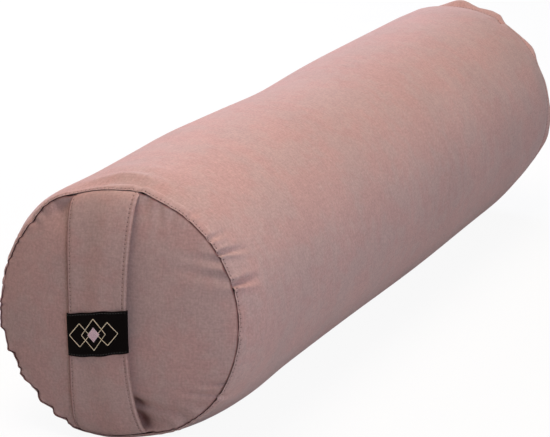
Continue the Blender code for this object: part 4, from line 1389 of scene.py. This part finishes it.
@dataclass
class Handle:
    """The folded strap across the front end, its stitches and the woven label round it.

    twist is how much closer to the end panel the strap's left edge lies in the middle, and
    twist_drift how far that moves the edge outwards, for each distance. ripple, furrow and
    edge_sway are the heights of its cloth's small waves. motif_side, motif_middle and lozenge are
    half sizes, along the strap and across it.
    """

    form: BolsterForm
    width: float = 0.0488
    top_width: float = 0.0536
    foot_width: float = 0.0582
    flare: int = 3
    thickness: float = 0.0020
    rise: float = 0.019
    top_offset: float = -0.0123
    foot_offset: float = -0.0012
    seat_radius: float = 0.0956
    tail: float = 0.008
    across_steps: int = 36
    path_steps: int = 110
    left_row: float = 0.0022
    right_row: float = 0.0036
    under_edge: float = 0.0014
    twist: float = 0.0070
    twist_drift: float = 0.48
    row_dent: float = 0.0004
    row_width: float = 0.0008
    under_dent: float = 0.0007
    ripple: float = 0.00035
    furrow: float = 0.0007
    edge_sway: float = 0.0005
    pitch: float = 0.0032
    label_length: float = 0.0362
    label_drop: float = 0.0101
    label_tilt: float = 0.268
    label_taper: float = 0.050
    label_row: float = 0.0016
    label_pitch: float = 0.0022
    motif_offset: float = -0.0022
    motif_step: float = 0.0115
    motif_side: tuple[float, float] = (0.0095, 0.0085)
    motif_middle: tuple[float, float] = (0.0128, 0.0098)
    lozenge: tuple[float, float] = (0.0062, 0.0050)
    label_cloth: float = 0.0005
    label_margin: float = 0.0004
    label_stand: float = 0.0006
    label_sway: float = 0.0002
    label_columns: int = 60

    def half_width(self, turn: np.ndarray) -> np.ndarray:
        """Half the strap's width, which grows towards its ends."""
        end_width = np.where(turn < math.pi / 2, self.top_width, self.foot_width)
        return (self.width + (end_width - self.width) * np.abs(np.cos(turn)) ** self.flare) / 2

    def point(
        self, across: np.ndarray, turn: np.ndarray, lift: np.ndarray, tail: np.ndarray,
    ) -> np.ndarray:
        """Settled point of the strap.

        Args:
            across: Distance to the side of the strap's middle.
            turn: 0 at the top seam to pi at the bottom seam.
            lift: Distance off the middle of its thickness, away from the end panel.
            tail: Distance past the seam into the bolster.

        Returns:
            The points.
        """
        share = (1 - np.cos(turn)) / 2
        low = (1 - across / self.half_width(turn)) / 2 * np.sqrt(np.sin(turn).clip(0.0))
        middle = self.top_offset + (self.foot_offset - self.top_offset) * share
        side = middle + across - self.twist_drift * self.twist * low
        lift = lift - self.twist * low
        at_seam = np.arccos(side / self.seat_radius) * np.where(turn < math.pi / 2, 1, -1)
        up = self.form.wave(at_seam, np.full(side.shape, True))[1] * np.abs(np.cos(turn)) ** 4
        seat = np.sqrt((self.seat_radius + up) ** 2 - side**2)
        out = np.stack([-seat * np.sin(turn), self.rise * np.cos(turn)], axis=-1)
        out = out / np.linalg.norm(out, axis=-1, keepdims=True)
        along = -self.rise * np.sin(turn) + tail + lift * out[..., 0]
        height = seat * np.cos(turn) + lift * out[..., 1]
        return self.form.settle(side, along, height)

    def path(self) -> tuple[np.ndarray, np.ndarray, np.ndarray]:
        """Turn, tail and distance along the strap for each of its rows."""
        turn = np.linspace(0.0, math.pi, self.path_steps)
        place = np.stack([-self.rise * np.sin(turn), self.seat_radius * np.cos(turn)], axis=-1)
        distance = np.concatenate([[0.0], np.cumsum(np.linalg.norm(np.diff(place, axis=0), axis=1))])
        tails = np.array([self.tail, self.tail * 0.6, self.tail * 0.25])
        turn = np.concatenate([[0.0] * 3, turn, [math.pi] * 3])
        full = np.concatenate([-tails, distance, distance[-1] + tails[::-1]])
        return turn, np.concatenate([tails, np.zeros(self.path_steps), tails[::-1]]), full

    def section(self, steps: int) -> tuple[np.ndarray, np.ndarray]:
        """Ring round a flat strap: share across, and which face, 1 front to -1 back."""
        half_turn = np.linspace(0.0, math.pi, steps)
        across = -np.cos(half_turn)
        face = (1 - np.abs(across) ** 9) ** 0.5
        ring = np.concatenate([across, across[-2::-1]])
        return ring, np.concatenate([face, -face[-2::-1]])

    def build(self, wardrobe: Wardrobe) -> None:
        """Make the strap, its stitches and its label."""
        turn, tail, distance = self.path()
        ring, face = self.section(self.across_steps * 2)
        share, row_turn = np.meshgrid(ring, turn)
        lift_share, row_tail = np.meshgrid(face, tail)
        row_distance = np.broadcast_to(distance[:, None], share.shape)
        half = self.half_width(row_turn)
        across = share * half
        from_left, from_right = across + half, half - across
        lift = lift_share * self.thickness / 2
        shown = np.clip(lift_share * 4, 0.0, 1.0)
        for off in (from_left - self.left_row, from_right - self.right_row):
            lift = lift - shown * self.row_dent * bell(off, self.row_width)
        under = 1 - ease(self.under_edge - 0.0003, self.under_edge + 0.0001, from_right)
        lift = lift - shown * self.under_dent * under
        ripples = np.sin(row_distance / 0.031 + 1.7 * np.sin(across / 0.011))
        free = np.sin(row_turn) ** 0.5
        lift = lift + self.ripple * ripples * np.sin(across / 0.0085 + 0.6) * free
        furrows = np.sin(across / 0.0052 + 0.9 * np.sin(row_distance / 0.06))
        lift = lift + self.furrow * furrows * free
        across = across + self.edge_sway * np.sin(row_distance / 0.023 + 0.5) * share
        points = self.point(across, row_turn, lift, row_tail)
        from_near = np.where(from_left < half, from_left - self.left_row, from_right - self.right_row)
        off = np.where(lift_share > 0, from_near, NO_STITCH)
        maps = ClothMaps(
            np.stack([across, row_distance], axis=-1),
            np.stack([row_distance, off], axis=-1),
            # A paler rubbed strip at the right edge, which is wear, and painted shade along the left edge
            # for the dark narrow gap between the strap and the end panel.
            0.6 * bell(from_right, 0.0007) - bell(from_left, 0.0009),
        )
        strap = weave_sheet("folded_handle", points, maps, turned=False, joined=True)
        fit(strap, wardrobe.handle, "cover_cotton", "bolster", "handle_strap")
        shown_columns = self.across_steps * 2
        sheet = Sheet(distance, ring[:shown_columns], points[:, :shown_columns])
        self.sew(sheet, wardrobe)
        self.make_label(wardrobe)

    def sew(self, sheet: Sheet, wardrobe: Wardrobe) -> None:
        """Stitch the strap's edges and its fold."""
        turn, _, distance = self.path()
        length, seats = distance[-4], []
        middle = length / 2 + self.label_drop
        for k in range(1, int(length / self.pitch)):
            start, stop = (k + 0.1) * self.pitch, (k + 0.9) * self.pitch
            if abs((start + stop) / 2 - middle) < self.label_length / 2:
                continue
            half = float(self.half_width(np.interp(start, distance, turn)))
            for share in (self.left_row / half - 1, 1 - self.right_row / half):
                seats.append(sheet.seat((start, share), (stop, share)))
        thread = StitchRow("handle_stitches", 0.0028, 0.0005).sew(seats)
        fit(thread, wardrobe.thread, "cover_cotton", "bolster")

    def make_label(self, wardrobe: Wardrobe) -> None:
        """Make the woven band round the strap and what is woven on it."""
        rows = np.linspace(-self.label_length / 2, self.label_length / 2, 34)
        ring, face = self.section(self.label_columns)
        share, row = np.meshgrid(ring, rows)
        lift_share = np.broadcast_to(face, share.shape)
        edge = (np.sin(share * 9.0) + np.sin(share * 3.1 + 1.0)) * self.label_sway
        wavy = edge * np.sign(row) * np.abs(row / (self.label_length / 2)) ** 3
        down = self.label_drop + row * (0.99 - self.label_taper * share)
        straight = math.pi / 2 + down / self.form.seam_radius
        half = self.half_width(straight) + self.label_margin
        row_turn = straight + (wavy - self.label_tilt * share * half) / self.form.seam_radius
        lift = lift_share * (self.thickness / 2 + self.label_stand)
        shown = np.clip(lift_share * 4, 0.0, 1.0)
        lift = lift + self.label_sway * shown * np.sin(share * 7.0) * np.sin(row / 0.009)
        points = self.point(share * half, row_turn, lift, np.zeros_like(share))
        off = np.where(lift_share > 0, self.label_length / 2 - np.abs(row) - self.label_row, NO_STITCH)
        maps = ClothMaps(
            np.stack([share * half * np.sign(lift_share + 0.01), row], axis=-1),
            np.stack([share * half, off], axis=-1),
            bell(np.abs(row) - self.label_length / 2, 0.0009),
        )
        label = weave_sheet("woven_label", points, maps, turned=False, joined=True, capped=False)
        thicken(label, self.label_cloth, outwards=True)
        fit(label, wardrobe.ribbon, "label_ribbon", "bolster", "handle_label")
        lifted = points[:, : self.label_columns].copy()
        lifted += self.outward(lifted) * self.label_cloth
        self.embroider(Sheet(rows, ring[: self.label_columns] * self.width / 2, lifted), wardrobe)

    def outward(self, points: np.ndarray) -> np.ndarray:
        """Unit vectors out of a grid's shown face."""
        by_row, by_column = np.gradient(points, axis=0), np.gradient(points, axis=1)
        out = np.cross(by_row, by_column)
        return out / np.maximum(np.linalg.norm(out, axis=-1, keepdims=True), 1e-12)

    def line(self, sheet: Sheet, stops: list[tuple[float, float]], step: float) -> list[Matrix]:
        """Seats for stitches that follow a line on the label.

        Args:
            sheet: The label's face.
            stops: Row key and column key of each place where the line starts, turns or ends.
            step: Distance from stitch to stitch.

        Returns:
            A seat for each stitch.
        """
        seats = []
        for (r0, c0), (r1, c1) in zip(stops, stops[1:]):
            count = max(1, round(math.hypot(r1 - r0, c1 - c0) / step))
            places = [(r0 + (r1 - r0) * k / count, c0 + (c1 - c0) * k / count) for k in range(count + 1)]
            seats += [sheet.seat(first, last) for first, last in zip(places, places[1:])]
        return seats

    def embroider(self, sheet: Sheet, wardrobe: Wardrobe) -> None:
        """A plain chain of three diamonds with a small lozenge, and a stitch row at each edge."""
        gold, pink, black = [], [], []
        sizes = (self.motif_side, self.motif_middle, self.motif_side)
        for step, (tall, wide) in zip((-self.motif_step, 0.0, self.motif_step), sizes):
            centre = self.motif_offset + step
            diamond = [(-tall, centre), (0, centre + wide), (tall, centre), (0, centre - wide)]
            gold += self.line(sheet, diamond + diamond[:1], 0.0015)
        half_height, half_width = self.lozenge
        for row in np.arange(-0.0056, 0.0057, 0.0004):
            reach = half_width * (1 - abs(row) / half_height)
            ends = [(row, self.motif_offset - reach), (row, self.motif_offset + reach)]
            pink += self.line(sheet, ends, 0.0012)
        edge = self.label_length / 2 - self.label_row
        for row in (-edge, edge):
            for k in np.arange(-12, 12) * self.label_pitch:
                black.append(sheet.seat((row, k + 0.0003), (row, k + 0.0019)))
        for row, seats, finish in (
            (StitchRow("label_diamonds", 0.0019, 0.0007, 0.00022), gold, wardrobe.gold_thread),
            (StitchRow("label_lozenge", 0.0014, 0.0005, 0.00024), pink, wardrobe.pink_thread),
            (StitchRow("label_stitches", 0.0019, 0.0005, 0.0002), black, wardrobe.black_thread),
        ):
            fit(row.sew(seats), finish, "label_ribbon", "bolster")


# The zip


@dataclass
class ZipDress:
    """Woven tapes, and finishes for the zip's moulded and cast pieces."""

    form: BolsterForm
    front: float = 0.1484
    rear: float = 0.5483
    inner: float = 0.0033
    width: float = 0.0135
    depth: float = 0.0017
    cloth: float = 0.0006
    sway: float = 0.00012

    def build(self, wardrobe: Wardrobe) -> None:
        """Make the tapes and finish the rest."""
        for side, sign in ((Side.LOWER, 1), (Side.UPPER, -1)):
            self.make_tape(side, sign, wardrobe)
        for name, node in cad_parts.items():
            if "teeth" in name:
                self.finish(node, wardrobe.plastic)
            elif "stop" in name or "slider" in name or "pull" in name:
                self.finish(node, wardrobe.metal)

    def finish(self, node: bpy.types.Object, material: bpy.types.Material) -> None:
        """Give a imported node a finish."""
        node.data.materials.clear()
        node.data.materials.append(material)

    def make_tape(self, side: Side, sign: int, wardrobe: Wardrobe) -> None:
        """Make one half of the tape, which ends in cut edges under the cover."""
        along = np.linspace(self.front, self.rear, 90)
        across = np.linspace(self.inner, self.inner + self.width, 12)
        row, column = np.meshgrid(along, across, indexing="ij")
        angle = self.form.zip_angle + sign * column / self.form.radius
        wavy = self.sway * np.sin(row / 0.013) * (column - self.inner) / self.width
        points = self.form.wrap(angle, row, self.form.radius - self.depth - wavy)
        maps = ClothMaps.plain(column, row)
        tape = weave_sheet(f"woven_tape_{side.value}", points, maps, turned=sign < 0)
        thicken(tape, self.cloth)
        fit(tape, wardrobe.tape, "zip_tape", "bolster", f"zip_tape_{side.value}")


# The inner cushion


@dataclass
class InnerCushion:
    """The calico bag and the plant fibre packed in it, hidden by the cover.

    press is how deep its dents are against the cover's own, and shoulder is how far in from each
    end it starts and stops widening.
    """

    form: BolsterForm
    puffs: tuple[Puff, ...]
    columns: int = 150
    inset: float = 0.0038
    end_inset: float = 0.009
    bend: float = 0.004
    cloth: float = 0.0006
    fill_gap: float = 0.0016
    zip_relief: float = 0.0028
    press: float = 1.2
    shoulder: tuple[float, float] = (0.010, 0.045)

    def lay(self, extra: float, lumps: float) -> tuple[np.ndarray, np.ndarray]:
        """Closed form of the bag or of the fibre.

        Args:
            extra: How much further inside the cover it lies.
            lumps: Height of the lumps in its skin.

        Returns:
            Its grid of points, and its maps as places on flat cloth.
        """
        form = self.form
        rim, bend = form.seam_radius - self.end_inset - extra, self.bend
        profile = [(self.front_face(r) + extra, r) for r in np.linspace(0.0, rim - bend, 16)]
        for turn in np.radians((18, 36, 54, 72, 90)):
            into = self.front_face(rim) + extra + bend * (1 - math.cos(turn))
            profile.append((into, rim - bend + bend * math.sin(turn)))
        body = np.linspace(0.016 + extra, form.length / 2, 36)
        half = profile + [(y, 0.0) for y in body]
        table = np.array(half + [(form.length - y, r) for y, r in reversed(half[:-1])])
        near = np.minimum(table[:, 0], form.length - table[:, 0])
        widened = ease(*self.shoulder, near)
        skin = form.skin_radius(table[:, 0]) - self.inset - extra
        table[:, 1] = np.where(table[:, 1] > 0, table[:, 1], rim + (skin - rim) * widened)
        table[0, 1] = table[-1, 1] = 0.0
        angle, along = np.meshgrid(np.linspace(0.0, 2 * math.pi, self.columns + 1), table[:, 0])
        radius = np.broadcast_to(table[:, 1][:, None], along.shape)
        off_zip = np.abs(turn_from(angle, form.zip_angle)) * form.radius
        from_end = np.minimum(along, form.length - along)
        relief = self.zip_relief * (1 - ease(0.012, 0.030, off_zip)) * ease(0.05, 0.1, from_end)
        pressed = sum(np.minimum(puff.height_at(angle, along), 0.0) for puff in self.puffs)
        relief = relief - self.press * pressed * ease(0.05, 0.08, radius)
        waves = np.sin(angle * 7 + 3 * np.sin(along * 23)) * np.sin(along * 61 + 2 * np.sin(angle * 3))
        shaped = np.maximum(radius - relief - lumps * (1 + waves) * (radius > 0.02), 0.0)
        dent = form.end_dent(shaped * np.cos(angle), shaped * np.sin(angle))
        along = along + dent * (1 - ease(0.006, 0.030, along))
        points = form.wrap(angle, along, shaped, self.inset + extra)
        points[:, -1] = points[:, 0]
        points[0], points[-1] = points[0].mean(axis=0), points[-1].mean(axis=0)
        return points, np.stack([angle * form.radius, along], axis=-1)

    def front_face(self, radius: float) -> float:
        """Distance of the bag's end into the bolster from the seam's plane."""
        return 0.0032 - float(self.form.bulge(np.array(radius)))

    def build(self, wardrobe: Wardrobe) -> None:
        """Make the bag and the fibre."""
        points, flat = self.lay(0.0, 0.0003)
        maps = ClothMaps.plain(flat[..., 0], flat[..., 1])
        bag = weave_sheet("calico_bag", points, maps, turned=False, joined=True)
        thicken(bag, self.cloth)
        nodes = ("liner_body_panel", "liner_front_end_panel", "liner_rear_end_panel")
        fit(bag, wardrobe.calico, "liner_cotton", "bolster", *nodes)
        points, flat = self.lay(self.fill_gap, 0.0008)
        maps = ClothMaps.plain(flat[..., 0], flat[..., 1])
        fibre = weave_sheet("packed_fibre", points, maps, turned=False, joined=True)
        fit(fibre, wardrobe.fibre, "filling_fibre", "bolster", "filling")


# The studio


@dataclass(frozen=True)
class SoftBox:
    """A square lamp that faces the bolster."""

    name: str
    place: tuple[float, float, float]
    power: float
    colour: tuple[float, float, float]
    size: float = 1.1
    aim: tuple[float, float, float] = (0.0, -0.1, 0.1)

    def hang(self) -> None:
        """Make the lamp."""
        lamp = bpy.data.lights.new(self.name, "AREA")
        lamp.shape = "SQUARE"
        lamp.size = self.size
        lamp.energy = self.power
        lamp.color = self.colour
        obj = bpy.data.objects.new(self.name, lamp)
        bpy.context.scene.collection.objects.link(obj)
        obj.location = self.place
        ahead = Vector(self.aim) - Vector(self.place)
        obj.rotation_euler = ahead.to_track_quat("-Z", "Y").to_euler()


@dataclass
class Studio:
    """Plain pale floor, soft lamps and the camera."""

    target: tuple[float, float, float] = (0.1323, -0.3448, 0.1953)
    azimuth: float = math.radians(25.729)
    elevation: float = math.radians(17.698)
    distance: float = 1.5694
    lens: float = 144.45
    sensor: float = 36.0
    floor_size: float = 24.0
    floor_glow: float = 0.92
    world_strength: float = 0.03
    lamps: tuple[SoftBox, ...] = (
        SoftBox("soft box over", (-0.10, -0.30, 1.70), 24.3, (1.0, 0.825, 0.70)),
        SoftBox("soft box right", (1.60, 0.00, 0.70), 5.2, (0.95, 0.935, 1.0)),
        SoftBox("soft box front right", (1.30, -1.20, 0.80), 12.0, (0.73, 0.83, 1.0)),
        SoftBox("soft box rear left", (-1.30, 1.00, 0.80), 29.0, (0.76, 0.79, 1.0)),
    )

    def build(self) -> None:
        """Make the floor, the lamps, the world and the camera."""
        self.make_floor()
        self.make_world()
        for lamp in self.lamps:
            lamp.hang()
        self.place_camera()

    def make_floor(self) -> None:
        """A floor that is white to the camera, and keeps the bolster's shadow."""
        bm = bmesh.new()
        bmesh.ops.create_grid(bm, x_segments=1, y_segments=1, size=self.floor_size / 2)
        mesh = bpy.data.meshes.new("studio_floor")
        bm.to_mesh(mesh)
        bm.free()
        floor = bpy.data.objects.new("studio_floor", mesh)
        bpy.context.scene.collection.objects.link(floor)
        material, w, shader = new_finish("white studio floor")
        nodes = material.node_tree.nodes
        camera = w.add("ShaderNodeLightPath").outputs["Is Camera Ray"]
        tone = w.mix(camera, (0.50, 0.50, 0.50, 1.0), (0.90, 0.90, 0.90, 1.0))
        w.feed(shader.inputs["Base Color"], tone)
        shader.inputs["Roughness"].default_value = 0.9
        shader.inputs["Specular IOR Level"].default_value = 0.0
        glow = w.add("ShaderNodeEmission", {"Color": (1, 1, 1, 1), "Strength": 1.0})
        seen = w.math("MULTIPLY", camera, self.floor_glow)
        mixed = w.add("ShaderNodeMixShader", {0: seen, 1: shader.outputs[0], 2: glow.outputs[0]})
        w.feed(nodes["Material Output"].inputs["Surface"], mixed.outputs[0])
        floor.data.materials.append(material)

    def make_world(self) -> None:
        """A soft pale world that the camera sees as white."""
        world = bpy.data.worlds.new("studio")
        world.use_nodes = True
        bpy.context.scene.world = world
        w = Wiring(world.node_tree)
        background = world.node_tree.nodes["Background"]
        path = w.add("ShaderNodeLightPath").outputs
        sharp = w.math("MAXIMUM", path["Is Glossy Ray"], path["Is Transmission Ray"])
        shown = w.math("MAXIMUM", path["Is Camera Ray"], sharp)
        strength = w.math("MULTIPLY_ADD", shown, 1 - self.world_strength, self.world_strength)
        w.feed(background.inputs["Strength"], strength)
        background.inputs["Color"].default_value = (0.97, 0.985, 1.0, 1.0)

    def place_camera(self) -> None:
        """Stand the camera where the photograph was taken from."""
        data = bpy.data.cameras.new("camera")
        data.sensor_fit = "HORIZONTAL"
        data.sensor_width = self.sensor
        data.lens = self.lens
        camera = bpy.data.objects.new("camera", data)
        bpy.context.scene.collection.objects.link(camera)
        level = Vector((math.sin(self.azimuth), -math.cos(self.azimuth), 0.0))
        back = level * math.cos(self.elevation) + Vector((0.0, 0.0, math.sin(self.elevation)))
        camera.location = Vector(self.target) + back * self.distance
        camera.rotation_euler = (-back).to_track_quat("-Z", "Y").to_euler()
        bpy.context.scene.camera = camera
        bpy.context.scene.view_settings.view_transform = "Standard"


def main() -> None:
    """Build every piece in order."""
    logging.basicConfig(level=logging.INFO, format="%(message)s")
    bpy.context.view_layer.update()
    Studio().build()
    form, wardrobe = BolsterForm(), Wardrobe()
    tube = CoverTube(form)
    tube.build(wardrobe)
    EndDisc(form, End.FRONT, FRONT_DISC_CREASES).build(wardrobe)
    EndDisc(form, End.REAR, REAR_DISC_CREASES).build(wardrobe)
    Handle(form).build(wardrobe)
    ZipDress(form).build(wardrobe)
    InnerCushion(form, tube.puffs).build(wardrobe)


if __name__ == "__main__":
    main()
